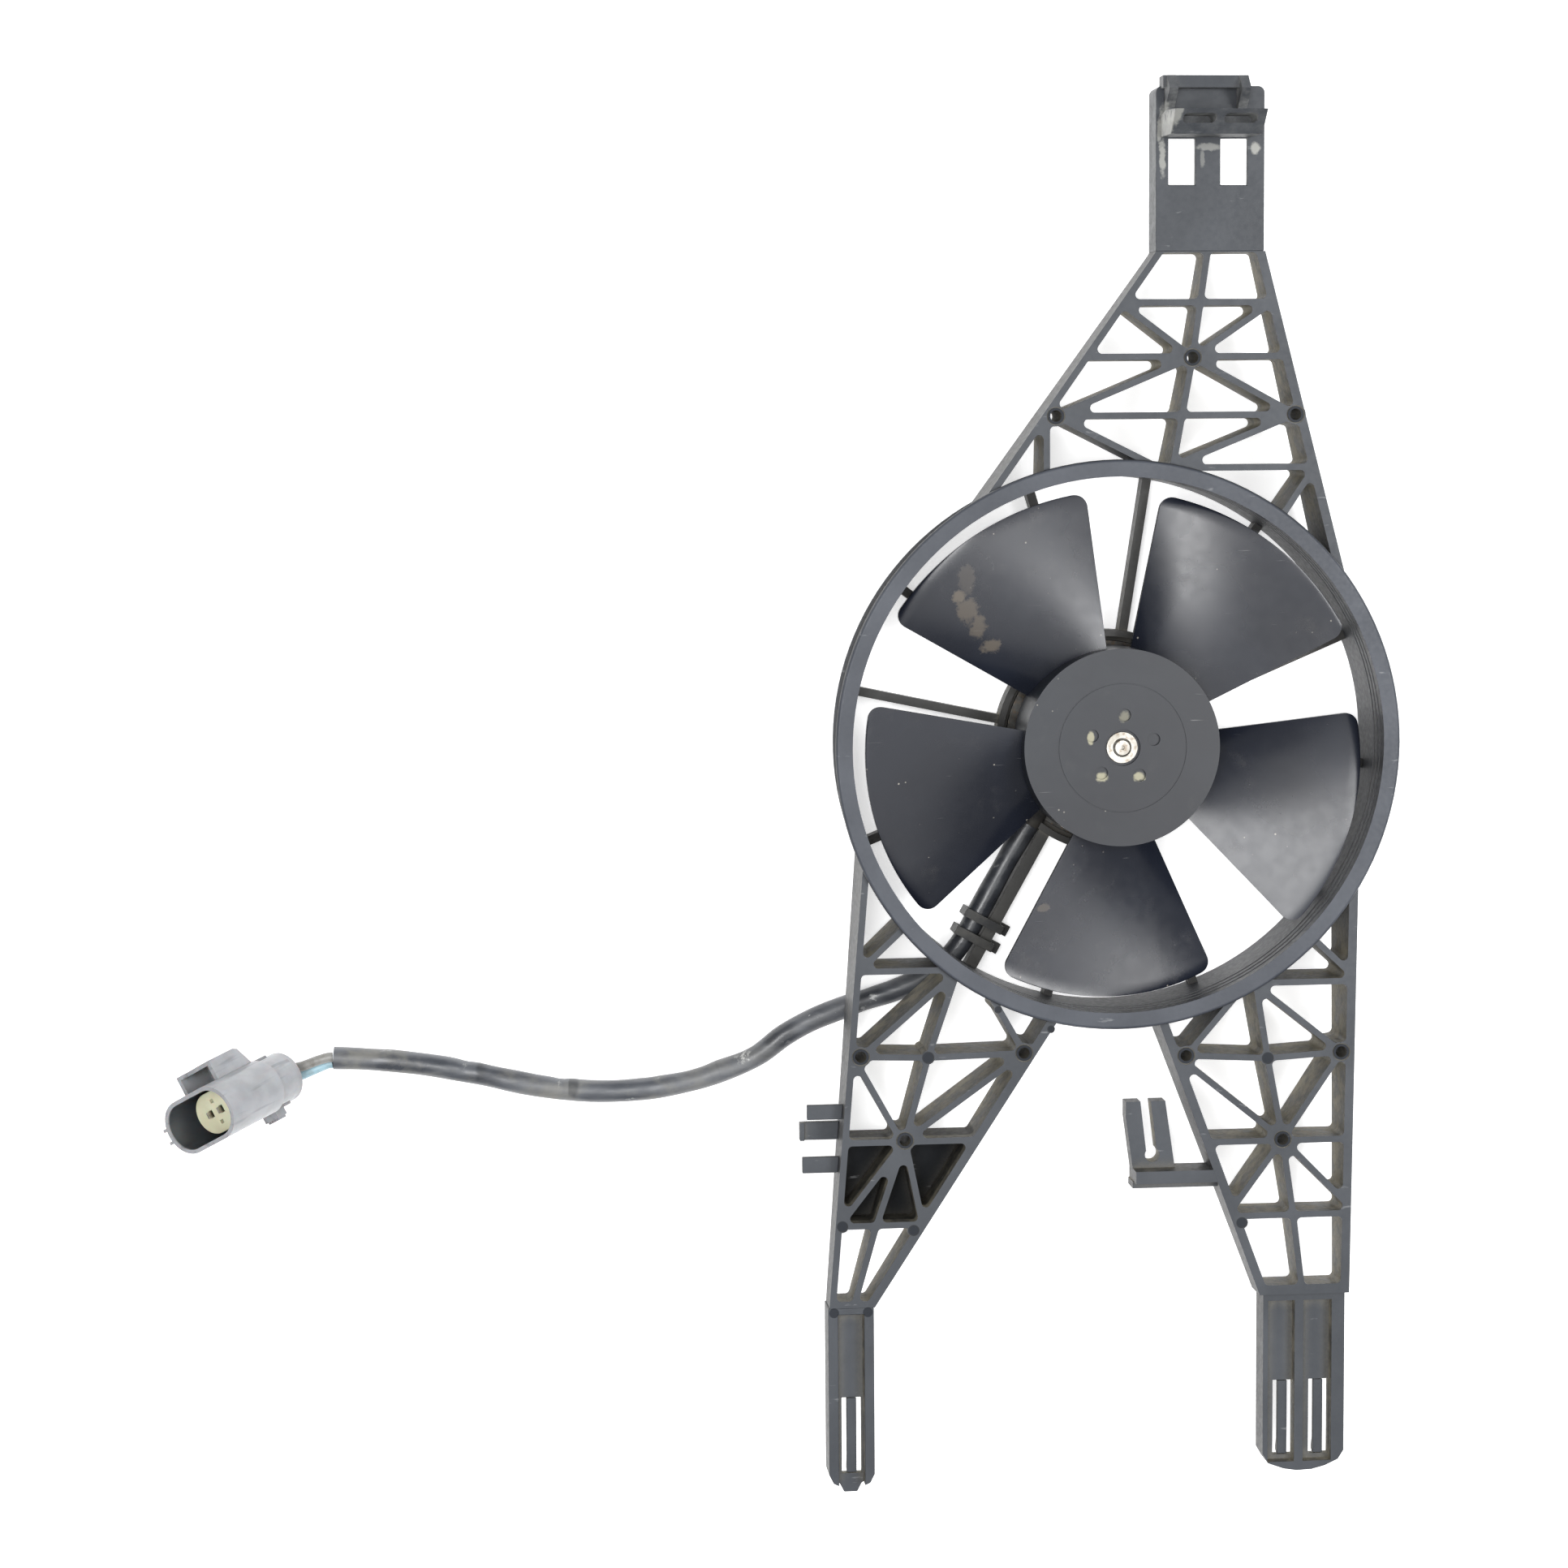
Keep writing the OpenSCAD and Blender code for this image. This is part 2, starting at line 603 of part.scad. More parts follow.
module right_foot() color(frame_col) {
    x0 = foot_r_x - foot_r_w / 2;
    x1 = foot_r_x + foot_r_w / 2;
    y1 = foot_r_y1;
    depth = foot_r_front - foot_r_back;
    channels = [[x0 + 2.3, 12.2], [x0 + 18.5, 13]];
    difference() {
        translate([0, 0, foot_r_back]) linear_extrude(depth) polygon([
            [x0, leg_end_y], [x1, leg_end_y], [x1, y1 + 1.5], [x1 - 2.6, y1 - 2.6],
            [foot_r_x + 10, y1 - 5.4], [foot_r_x + 4, y1 - 6.9], [foot_r_x - 3, y1 - 7.2],
            [foot_r_x - 9, y1 - 6.2], [x0 + 2.6, y1 - 3.6], [x0, y1 + 1]
        ]);
        // Two front channels with a rib between them
        for (c = channels) translate([c[0], y1 - 3, web_r_z0 + web_t])
            cube([c[1], foot_len - 2.5, depth]);
        // Hollow behind the web
        translate([x0 + 2.5, y1 - 2.5, foot_r_back - eps])
            cube([foot_r_w - 5, foot_len - 3.5, web_r_z0 - foot_r_back + eps]);
        for (x = tongue_r_xs) tongue_slots(x, tongue_r_root, web_r_z0);
    }
}

// A spring tongue with a snap nub behind its free end
module tongue(x, root, z) {
    translate([x - tongue_w / 2, root - tongue_len, z]) cube([tongue_w, tongue_len, web_t]);
    translate([x - tongue_w / 2, 0, 0]) rotate([90, 0, 90]) linear_extrude(tongue_w)
        polygon([[root - tongue_len, z], [root - tongue_len + 1, z - 1.8],
                 [root - tongue_len + 2.5, z - 1.8], [root - tongue_len + 7, z]]);
}

module left_tongue() color(frame_col) tongue(tongue_l_x, tongue_root, web_z0);
module right_tongue_inner() color(frame_col) tongue(tongue_r_xs[0], tongue_r_root, web_r_z0);
module right_tongue_outer() color(frame_col) tongue(tongue_r_xs[1], tongue_r_root, web_r_z0);

module fork_bracket() color(frame_col) {
    bar_y = -191.1;
    bar_x = 8;
    fork_z = end_z - 1;
    difference() {
        union() {
            translate([bar_x, bar_y - 5.6, fork_z]) cube([45, 5.6, front_z - fork_z]);
            translate([bar_x - 0.5, bar_y - 8.6, fork_z]) cube([46, 3.1, 11]);
            translate([0, 0, fork_z]) linear_extrude(fork_t) polygon([
                [bar_x, bar_y - 0.1], [4.9, -168], [4.9, -160.8], [22.8, -160.8],
                [27.2, bar_y - 0.1]
            ]);
        }
        // Slot with a round seat at its end
        translate([0, 0, fork_z - 1]) linear_extrude(fork_t + 2) {
            translate([16.9, -185.2]) circle(d = fork_seat_d);
            rib([13.7, -159], [16.5, -183], fork_slot);
        }
        // The bar ends on the rail's outer face
        linear_extrude(front_z + 1) inside_rail(right_i_top, right_i_end, rail_w);
    }
}

module clip_tabs() color(frame_col) {
    back_z = end_z - 4;
    front = back_z + tab_t + tab_gap;
    root = [for (y = [-160, -187, -172]) on_line(left_o_top, left_o_end, y).x - thin_rail_w / 2];
    difference() {
        union() {
            translate([root[0] - tab_len, -165, front]) cube([tab_len + 1, 6.6, tab_t]);
            translate([root[1] - tab_len, -189, front]) cube([tab_len + 1, 7.2, tab_t]);
            translate([root[2] - tab_len - 1.5, -176, back_z]) cube([tab_len + 2.5, 8.2, tab_t]);
            translate([root[2] - tab_len - 1.5, -176, back_z]) cube([2.2, 8.2, tab_t + 2]);
        }
        // The tabs end on the rail's outer face
        linear_extrude(front_z + 1) inside_rail(left_o_top, left_o_end, thin_rail_w);
    }
}

function blade_z(u, r) = blade_mid_z + blade_rise / 2 * u + blade_camber * (1 - u * u);

// Half of the blade's span at a radius: the corners of the tip are rounded
function half_span(r) =
    let (tip_r = fan_d / 2, over = r - (tip_r - tip_corner))
    over <= 0 ? blade_span / 2
              : blade_span / 2 - (tip_corner - sqrt(max(0, tip_corner * tip_corner - over * over)))
                * 180 / PI / tip_r;

// Radii of the rows, close together in the rounded corner
function row_r(i) =
    let (tip_r = fan_d / 2, corner_rows = 4, flat = blade_rows - corner_rows)
    i <= flat ? blade_root_r + (tip_r - tip_corner - blade_root_r) * i / flat
              : tip_r - tip_corner + tip_corner * sin(90 * (i - flat) / corner_rows);

function blade_point(i, j, side) =
    let (r = row_r(i), u = 2 * j / blade_cols - 1, ang = -u * half_span(r))
    [r * cos(ang), r * sin(ang), blade_z(u, r) + side * blade_thick / 2];

module one_blade() {
    nc = blade_cols + 1;
    nr = blade_rows + 1;
    top = [for (i = [0:nr - 1]) for (j = [0:nc - 1]) blade_point(i, j, 1)];
    low = [for (i = [0:nr - 1]) for (j = [0:nc - 1]) blade_point(i, j, -1)];
    n = nr * nc;
    top_faces = [for (i = [0:nr - 2]) for (j = [0:nc - 2]) for (k = [0, 1])
        let (a = i * nc + j, b = a + 1, c = a + nc, d = c + 1)
        k == 0 ? [a, b, d] : [a, d, c]];
    low_faces = [for (f = top_faces) [f[2] + n, f[1] + n, f[0] + n]];
    edge = concat(
        [for (j = [0:nc - 2]) j],
        [for (i = [0:nr - 2]) i * nc + nc - 1],
        [for (j = [nc - 1:-1:1]) (nr - 1) * nc + j],
        [for (i = [nr - 1:-1:1]) i * nc]);
    m = len(edge);
    edge_faces = [for (k = [0:m - 1]) for (h = [0, 1])
        let (a = edge[k], b = edge[(k + 1) % m])
        h == 0 ? [a, a + n, b + n] : [a, b + n, b]];
    polyhedron(points = concat(top, low), faces = concat(top_faces, low_faces, edge_faces));
}

module impeller_blades() color(dark_col)
    difference() {
        for (i = [0:blade_count - 1])
            rotate([0, 0, 90 - blade_first - i * 360 / blade_count]) one_blade();
        cylinder(d = hub_d, h = 2 * hub_z, $fn = 180);
    }

module impeller_hub() color(dark_col)
    difference() {
        union() {
            difference() {
                translate([0, 0, hub_z - hub_depth]) cylinder(d = hub_d, h = hub_depth, $fn = 180);
                translate([0, 0, hub_z - hub_depth - 1])
                    cylinder(d = hub_d - 2 * hub_wall, h = hub_depth + 1 - hub_face_t, $fn = 180);
            }
            translate([0, 0, hub_inner_z - hub_rib_h]) cylinder(r = 9.5, h = hub_rib_h + 1);
            for (i = [0:blade_count - 1]) rotate([0, 0, i * 360 / blade_count])
                translate([8, -1, hub_inner_z - hub_rib_h + 1])
                    cube([hub_d / 2 - hub_wall - 7, 2, hub_rib_h]);
        }
        translate([0, 0, hub_inner_z - hub_rib_h - 1]) cylinder(d = 14, h = hub_rib_h + hub_face_t + 2);
        translate([0, 0, hub_z - 1.2]) cylinder(d = 16, h = 2);
        // Shallow ring line and five balance pockets on the face
        translate([0, 0, hub_z - 0.3]) difference() {
            cylinder(r = 28.6, h = 1, $fn = 120);
            translate([0, 0, -1]) cylinder(r = 28.1, h = 3, $fn = 120);
        }
        for (i = [0:4]) rotate([0, 0, 86 - i * 72]) translate([14.4, 0, hub_z - 1])
            cylinder(d = 5.6, h = 2);
    }

module hub_insert() color(steel_col) {
    z0 = hub_inner_z - hub_rib_h;
    difference() {
        translate([0, 0, z0]) cylinder(d = 14, h = hub_z - 0.6 - z0);
        translate([0, 0, z0 - 1]) cylinder(d = shaft_d, h = hub_z);
    }
}

module motor_shaft() color(steel_col)
    difference() {
        translate([0, 0, plate_top - 1.4]) cylinder(d = shaft_d, h = hub_z + 0.3 - plate_top + 1.4);
        translate([0, 0, hub_z - 1.5]) cylinder(d = 1.9, h = 3);
        // Chamfer round the front end
        translate([0, 0, hub_z - 0.5]) difference() {
            cylinder(d = shaft_d + 2, h = 2);
            translate([0, 0, -0.01]) cylinder(d1 = shaft_d, d2 = shaft_d - 2, h = 1);
        }
    }

module armature_core() color(steel_col)
    difference() {
        translate([0, 0, core_z0]) cylinder(r = core_r, h = core_z1 - core_z0, $fn = 120);
        translate([0, 0, core_z0 - 1]) cylinder(d = shaft_d, h = 40);
        for (i = [0:core_slots - 1]) rotate([0, 0, i * 360 / core_slots]) {
            translate([core_r - 7, 0, core_z0 - 1]) cylinder(r = 3.4, h = 40);
            translate([core_r - 7, -0.9, core_z0 - 1]) cube([9, 1.8, 40]);
        }
    }

module armature_windings() color(copper_col) {
    for (i = [0:core_slots - 1]) rotate([0, 0, i * 360 / core_slots])
        translate([core_r - 7, 0, core_z0 - 0.5]) cylinder(r = 3.1, h = core_z1 - core_z0 + 1);
    for (z = [core_z0 - wind_h, core_z1]) translate([0, 0, z])
        rotate_extrude($fn = 96) translate([shaft_d / 2 + 4, 0])
            square([core_r - 4 - shaft_d / 2 - 4, wind_h]);
}

module commutator() color(copper_col)
    difference() {
        translate([0, 0, comm_z0]) cylinder(r = comm_r, h = comm_z1 - comm_z0);
        translate([0, 0, comm_z0 - 1]) cylinder(d = shaft_d, h = 20);
        for (i = [0:core_slots - 1]) rotate([0, 0, (i + 0.5) * 360 / core_slots])
            translate([comm_r - 1, -0.2, comm_z0 - 1]) cube([2, 0.4, 20]);
    }

module shaft_collar() color(brass_col)
    for (z = [cap_z1 + 0.3, core_z1 + wind_h + 0.1]) difference() {
        translate([0, 0, z]) cylinder(d = shaft_d + 5, h = 0.7);
        translate([0, 0, z - 1]) cylinder(d = shaft_d, h = 3);
    }

module motor_can() color(steel_col)
    difference() {
        union() {
            translate([0, 0, can_z0]) cylinder(d = can_d, h = can_z1 - can_z0, $fn = 120);
            translate([0, 0, can_z0]) cylinder(d = can_d + 2 * flange_w, h = flange_t, $fn = 120);
        }
        difference() {
            translate([0, 0, can_z0 - 1]) cylinder(r = can_ir, h = can_z1 - can_wall - can_z0 + 1, $fn = 120);
            translate([0, 0, can_z1 - can_wall - bearing_len])
                cylinder(d = bearing_d + 3, h = bearing_len + 1);
        }
        translate([0, 0, can_z1 - can_wall - bearing_len - 1])
            cylinder(d = bearing_d, h = bearing_len + 1);
        translate([0, 0, can_z0]) cylinder(d = shaft_d + 3, h = 60);
        for (a = screw_angles) rotate([0, 0, a]) translate([screw_r, 0, 0])
            cylinder(d = 3.9, h = 20);
        lead_notch();
    }

module motor_end_cap() color(dark_col)
    difference() {
        union() {
            translate([0, 0, spoke_lift]) cylinder(r = can_ir - 3.5, h = plate_top - spoke_lift);
            translate([0, 0, plate_top]) cylinder(r = can_ir, h = cap_z1 - plate_top, $fn = 120);
        }
        translate([0, 0, cap_z1 - bearing_len]) cylinder(d = bearing_d, h = bearing_len + 1);
        difference() {
            translate([0, 0, plate_top]) cylinder(r = can_ir - 4, h = 10);
            cylinder(d = bearing_d + 4, h = 20);
        }
    }

module magnets() color([0.2, 0.2, 0.2])
    for (a = [45, 225]) rotate([0, 0, a]) intersection() {
        difference() {
            translate([0, 0, core_z0 - 2]) cylinder(r = can_ir, h = core_z1 - core_z0 + 4, $fn = 120);
            translate([0, 0, core_z0 - 3])
                cylinder(r = can_ir - magnet_thick, h = core_z1 - core_z0 + 6, $fn = 120);
        }
        translate([0, 0, 0]) rotate([0, 0, 45]) translate([-60, -60, 0])
            difference() {
                cube([120, 120, 60]);
                translate([-1, -1, -1]) cube([61 + 14, 122, 62]);
            }
    }

module bearing(z) {
    difference() {
        translate([0, 0, z]) cylinder(d = bearing_d, h = bearing_len);
        translate([0, 0, z - 1]) cylinder(d = shaft_d + 2 * bearing_gap, h = bearing_len + 2);
    }
}

module front_bearing() color(brass_col) bearing(can_z1 - can_wall - bearing_len);
module rear_bearing() color(brass_col) bearing(cap_z1 - bearing_len);

module brush_card() color([0.25, 0.2, 0.15])
    difference() {
        translate([0, 0, cap_z1]) cylinder(r = can_ir, h = 1.2, $fn = 120);
        translate([0, 0, cap_z1 - 1]) cylinder(r = comm_r + 1.5, h = 4);
    }

module brush_holders() color(brass_col)
    for (a = [0, 180]) rotate([0, 0, a]) difference() {
        translate([comm_r + 2.5, -3.4, cap_z1 + 1.2]) cube([14, 6.8, 6.4]);
        translate([comm_r + 1.5, -2.4, cap_z1 + 2]) cube([14.2, 4.8, 4.8]);
    }

module brushes() color([0.15, 0.15, 0.15])
    for (a = [0, 180]) rotate([0, 0, a]) difference() {
        translate([comm_r - 2, -2.4, cap_z1 + 2]) cube([10, 4.8, 4.8]);
        translate([0, 0, cap_z1]) cylinder(r = comm_r + 0.3, h = 12);
    }

module brush_springs() color(steel_col)
    for (a = [0, 180]) rotate([0, 0, a]) translate([comm_r + 8, 0, cap_z1 + 4.4])
        rotate([0, 90, 0]) difference() {
            cylinder(r = 2, h = spring_len);
            translate([0, 0, -1]) cylinder(r = 1.4, h = spring_len + 2);
        }

module motor_screws() color(steel_col)
    for (a = screw_angles) rotate([0, 0, a]) translate([screw_r, 0, 0]) {
        translate([0, 0, plate_top + flange_t]) difference() {
            cylinder(d = 7.5, h = 2.4);
            for (t = [0, 90]) rotate([0, 0, t]) translate([-2, -0.5, 1.2]) cube([4, 1, 2]);
        }
        translate([0, 0, spoke_lift]) cylinder(d = 3.8, h = plate_top + flange_t - spoke_lift);
    }

// Direction of the sleeve where it leaves the motor
lead_dir = atan2(sleeve_path[1].y - sleeve_path[0].y, sleeve_path[1].x - sleeve_path[0].x);

module lead_rod(d, back, ahead) {
    translate(sleeve_path[0]) rotate([0, 0, lead_dir]) rotate([0, 90, 0])
        translate([0, 0, -back]) cylinder(d = d, h = back + ahead);
}

// Notch that the grommet sits in
module lead_notch() {
    lead_rod(sleeve_d + 1, 12, 9);
}

module lead_grommet() color(rubber_col) lead_rod(sleeve_d + 1, 9, 0);

// Two ties hold the sleeve to the wide spoke
module cable_tie() color(rubber_col) {
    at = (sleeve_path[3] + sleeve_path[4]) / 2;
    turn = atan2(sleeve_path[4].y - sleeve_path[3].y, sleeve_path[4].x - sleeve_path[3].x);
    band = 1.2;
    clear = 0.2;
    w0 = -sleeve_d / 2 - clear;
    w1 = sleeve_d / 2 + wide_spoke_w + 1;
    z0 = min(spoke_lift, at.z - sleeve_d / 2) - clear;
    z1 = max(spoke_top, at.z + sleeve_d / 2) + 3 * clear;
    for (x = [-5.5, 3.5]) translate([at.x, at.y, 0]) rotate([0, 0, turn]) {
        difference() {
            translate([x, w0 - band, z0 - band]) cube([4, w1 - w0 + 2 * band, z1 - z0 + 2 * band]);
            translate([x - 1, w0, z0]) cube([6, w1 - w0, z1 - z0]);
        }
        translate([x - 1, w1 + band - 0.2, z0 + 1]) cube([5, 3.8, 5]);
    }
}

// Rings of a tube that follows a list of points
function tangent(p, i) =
    let (a = p[max(0, i - 1)], b = p[min(len(p) - 1, i + 1)]) (b - a) / norm(b - a);
function side_of(t) = let (s = cross([0, 0, 1], t)) s / norm(s);
function ring_points(p, i, r, n) =
    let (t = tangent(p, i), s = side_of(t), u = cross(t, s))
    [for (k = [0:n - 1]) p[i] + r * (cos(360 * k / n) * s + sin(360 * k / n) * u)];

module tube(p, d, n) {
    r = d / 2;
    m = len(p);
    pts = [for (i = [0:m - 1]) each ring_points(p, i, r, n)];
    walls = [for (i = [0:m - 2]) for (k = [0:n - 1])
        [i * n + k, (i + 1) * n + k, (i + 1) * n + (k + 1) % n, i * n + (k + 1) % n]];
    polyhedron(points = pts, faces = concat(
        walls, [[for (k = [0:n - 1]) k]], [[for (k = [n - 1:-1:0]) (m - 1) * n + k]]));
}

module cable_sleeve() color(rubber_col) tube(sleeve_path, sleeve_d, 12);
module wire_grey() color(grey_col) tube(wire_grey_path, wire_d, 8);
module wire_blue() color([0.55, 0.78, 0.88]) tube(wire_blue_path, wire_d, 8);

module in_connector() {
    translate(conn_pos) rotate([0, 0, conn_heading]) rotate([0, 90 - conn_tilt, 0])
        rotate([0, 0, conn_roll]) children();
}

// Outline with two round ends, w along X and h along Y
module slot_shape(w, h) {
    square([w - h, h], center = true);
    for (s = [-1, 1]) translate([s * (w - h) / 2, 0]) circle(d = h, $fn = 48);
}

module connector_boot() color(grey_col) in_connector()
    translate([0, 0, -boot_len]) {
        cylinder(d = 2 * wire_d + 2.6, h = boot_len - 2.5);
        translate([0, 0, boot_len - 2.5]) cylinder(d = 2 * wire_d + 5.6, h = 2.5);
    }

module connector_housing() color(grey_col) in_connector() {
    rear_h = 22;
    difference() {
        union() {
            linear_extrude(4) slot_shape(23, 16);
            translate([0, 0, 3.5]) linear_extrude(6) slot_shape(31, 22.5);
            translate([0, 0, 9]) linear_extrude(rear_h - 9) slot_shape(mouth_w - 4, mouth_h - 3);
            translate([0, 0, rear_h]) linear_extrude(conn_len - rear_h) slot_shape(mouth_w, mouth_h);
            // Ribs along both flat sides
            for (s = [-1, 1]) for (x = [-6, 0, 6])
                translate([x - 0.8, s * (mouth_h / 2 - 1) - 0.8, 9]) cube([1.6, 1.6, rear_h - 8]);
            // Two small nubs at the lower edge of the mouth
            for (y = [-3, 3]) translate([mouth_w / 2 - 0.5, y - 0.7, conn_len - 8]) cube([2.2, 1.4, 8]);
        }
        translate([0, 0, rear_h + 1])
            linear_extrude(conn_len) slot_shape(mouth_w - 2 * mouth_wall, mouth_h - 2 * mouth_wall);
    }
    // Latch bridge on the side that faces the tower, with a slanted rear end
    latch_top = -mouth_h / 2 - 8.8;
    latch_end = conn_len - 10.4;
    latch_foot = -mouth_h / 2 + mouth_wall - 0.2;
    difference() {
        translate([-11.25, 0, 0]) rotate([90, 0, 90]) linear_extrude(22.5) polygon([
            [latch_foot, latch_end], [latch_top, latch_end], [latch_top, latch_end - 16],
            [latch_top + 1, latch_end - 18.5], [latch_foot, latch_end - 23]
        ]);
        translate([-9.25, latch_top + 1.8, latch_end - 17]) cube([18.5, 20, 30]);
        translate([-1.5, latch_top - 1, latch_end - 2.4]) cube([8.5, 4, 4]);
        translate([-8, latch_top - 1, latch_end - 8]) cube([5, 4, 5]);
    }
    // Ribbed lock on the other side, behind the body
    translate([4.7, 8, 2.6]) cube([8.6, mouth_h / 2 - 5, 6.2]);
    for (i = [0:4]) translate([5.3 + 1.6 * i, mouth_h / 2 + 2, 3.4]) cube([0.8, 2, 4.6]);
}

module connector_insert() color([0.86, 0.85, 0.72]) in_connector()
    translate([1, 0, 23]) difference() {
        linear_extrude(20.5) slot_shape(insert_w, insert_h);
        for (x = [-3.5, 3.5]) translate([x - 1.1, -1.6, 9]) cube([2.2, 3.2, 12]);
        for (y = [-5, 5]) translate([-1, y - 0.8, 16.5]) cube([2, 1.6, 5]);
    }

module connector_pins() color(steel_col) in_connector()
    translate([1, 0, 23]) for (x = [-3.5, 3.5])
        translate([x - 0.4, -1.4, 9]) cube([0.8, 2.8, 14]);

shroud_ring();
motor_spider();
tower_truss();
top_neck();
top_catch();
left_leg_truss();
right_leg_truss();
left_foot();
right_foot();
fork_bracket();
clip_tabs();
left_tongue();
right_tongue_inner();
right_tongue_outer();
impeller_hub();
impeller_blades();
hub_insert();
motor_shaft();
armature_core();
armature_windings();
commutator();
shaft_collar();
motor_can();
motor_end_cap();
magnets();
front_bearing();
rear_bearing();
brush_card();
brush_holders();
brushes();
brush_springs();
motor_screws();
lead_grommet();
cable_tie();
cable_sleeve();
wire_grey();
wire_blue();
connector_boot();
connector_housing();
connector_insert();
connector_pins();
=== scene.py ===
# %% [markdown]
# # An electric cooling fan on a ribbed plastic frame
# The fan hangs behind a car's charge air cooler: five blades on a deep hub, a short duct
# round them, a flat motor on thin spokes, and a tall frame of moulded ribs. The solids come
# ready packed. This lesson gives them their plastics and metals, and adds what a solid model
# leaves out: the creased cable, small marks of the mould, dust, scratches and soft edges.

# %% Load the frame
import json
import math
import bmesh
import bpy
from mathutils import Matrix, Vector, kdtree


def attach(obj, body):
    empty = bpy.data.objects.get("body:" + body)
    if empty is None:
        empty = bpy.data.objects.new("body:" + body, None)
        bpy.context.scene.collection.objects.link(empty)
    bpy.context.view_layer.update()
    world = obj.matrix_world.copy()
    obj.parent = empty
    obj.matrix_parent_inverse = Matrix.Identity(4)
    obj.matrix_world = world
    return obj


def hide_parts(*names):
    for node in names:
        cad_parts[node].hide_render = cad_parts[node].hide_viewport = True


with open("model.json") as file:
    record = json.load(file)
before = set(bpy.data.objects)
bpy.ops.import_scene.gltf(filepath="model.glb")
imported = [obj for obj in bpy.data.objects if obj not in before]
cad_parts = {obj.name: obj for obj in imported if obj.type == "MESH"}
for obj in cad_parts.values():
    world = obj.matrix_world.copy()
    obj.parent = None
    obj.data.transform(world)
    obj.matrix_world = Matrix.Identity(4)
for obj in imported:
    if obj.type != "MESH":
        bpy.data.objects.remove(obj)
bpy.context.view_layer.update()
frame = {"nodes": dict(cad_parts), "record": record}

nodes = frame["nodes"]
scene = bpy.context.scene
MM = 0.001

# %% [markdown]
# ## The camera
# The photograph looks straight down on the fan as it lies on its back, from about a metre
# and a half. The frame's middle is left of the fan, so the camera stands over the cable and
# sees the left walls of the ribs.

# %% Camera
camera = bpy.data.objects.new("camera", bpy.data.cameras.new("camera"))
scene.collection.objects.link(camera)
camera.data.sensor_width = 36
camera.data.lens = 78.26
right = Vector((0.99565, -0.00869, 0.09274))
up = Vector((0.01761, 0.99524, -0.09580))
back = Vector((-0.09146, 0.09702, 0.99107))
turn = Matrix((right, up, back)).transposed()
camera.matrix_world = Matrix.Translation((-0.28492, 0.13057, 1.51887)) @ turn.to_4x4()
scene.camera = camera
print("camera", [round(v, 3) for v in camera.location])

# %% [markdown]
# ## The route of the cable
# A soft vinyl sleeve, 10 mm thick, holds both leads. It leaves the motor beside the widest
# spoke, passes under the duct and the left leg, and lies on the table in one slow double
# bend. The route repeats the points of the solid, and a smooth line is drawn through them.

# %% A smooth line through points
sleeve_route = [
    (-35.2, -37.5, 7.5), (-42.2, -49, 7.5), (-49, -61, 7.5), (-56.8, -75, 7.3),
    (-64.5, -89, 6.4), (-72.5, -99, 5.6), (-84, -107, 5.3), (-97, -112.5, 5.2),
    (-109, -116, 5.2), (-121, -120, 5.2), (-134, -125, 5.2), (-146, -131.5, 5.2),
    (-158, -140, 5.2), (-172, -146, 5.2), (-188, -151, 5.2), (-206, -154, 5.2),
    (-226, -155, 5.2), (-246, -153.5, 5.2), (-265, -150, 5.2), (-284, -145.5, 5.2),
    (-303, -141.5, 5.2), (-320, -139, 5.2), (-335, -137.5, 5.2), (-348, -136.8, 5.2)]


def smooth_line(points, steps):
    """Points in metres on a rounded line through the given millimetre points."""
    p = [Vector(q) * MM for q in points]
    p = [2 * p[0] - p[1], *p, 2 * p[-1] - p[-2]]
    line = []
    for a, b, c, d in zip(p, p[1:], p[2:], p[3:]):
        for i in range(steps):
            t = i / steps
            line.append(0.5 * (2 * b + (c - a) * t + (2 * a - 5 * b + 4 * c - d) * t ** 2
                               + (3 * b - a - 3 * c + d) * t ** 3))
    return [*line, p[-2]]


def line_length(points):
    return sum((b - a).length for a, b in zip(points, points[1:]))


sleeve_line = smooth_line(sleeve_route, 8)
print("sleeve", round(line_length(sleeve_line), 4), "m long")

# %% [markdown]
# A cord is easiest as a curve with a round bevel. It is turned into a mesh at once, because
# the creases need vertices to move, and a mesh has an exact box.

# %% Curves with a round section
def round_curve(name, points, diameter, sides=6):
    """A curve object of one open spline with a round section."""
    curve = bpy.data.curves.new(name, "CURVE")
    curve.dimensions = "3D"
    curve.bevel_depth = diameter / 2
    curve.bevel_resolution = sides
    curve.use_fill_caps = True
    spline = curve.splines.new("POLY")
    spline.points.add(len(points) - 1)
    for point, place in zip(spline.points, points):
        point.co = (*place, 1)
    made = bpy.data.objects.new(name, curve)
    scene.collection.objects.link(made)
    return made


def as_mesh(curve):
    """Replaces a curve object by a smooth mesh of the same name."""
    name = curve.name
    mesh = bpy.data.meshes.new_from_object(curve)
    bpy.data.objects.remove(curve)
    mesh.polygons.foreach_set("use_smooth", [True] * len(mesh.polygons))
    made = bpy.data.objects.new(name, mesh)
    scene.collection.objects.link(made)
    return made


def ridden(made, slot, *instead, body="frame"):
    """The piece rides on a body and may stand for solids; the slot is not used."""
    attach(made, body)
    if instead:
        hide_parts(*instead)
    return made


# %% [markdown]
# The sleeve is limp and old. Where it has been bent sharply it keeps a crease: the wall is
# pinched in on one side and bulges a little beside it. Between the creases the section
# wanders by a few percent, because the two leads inside lie now beside, now above each other.

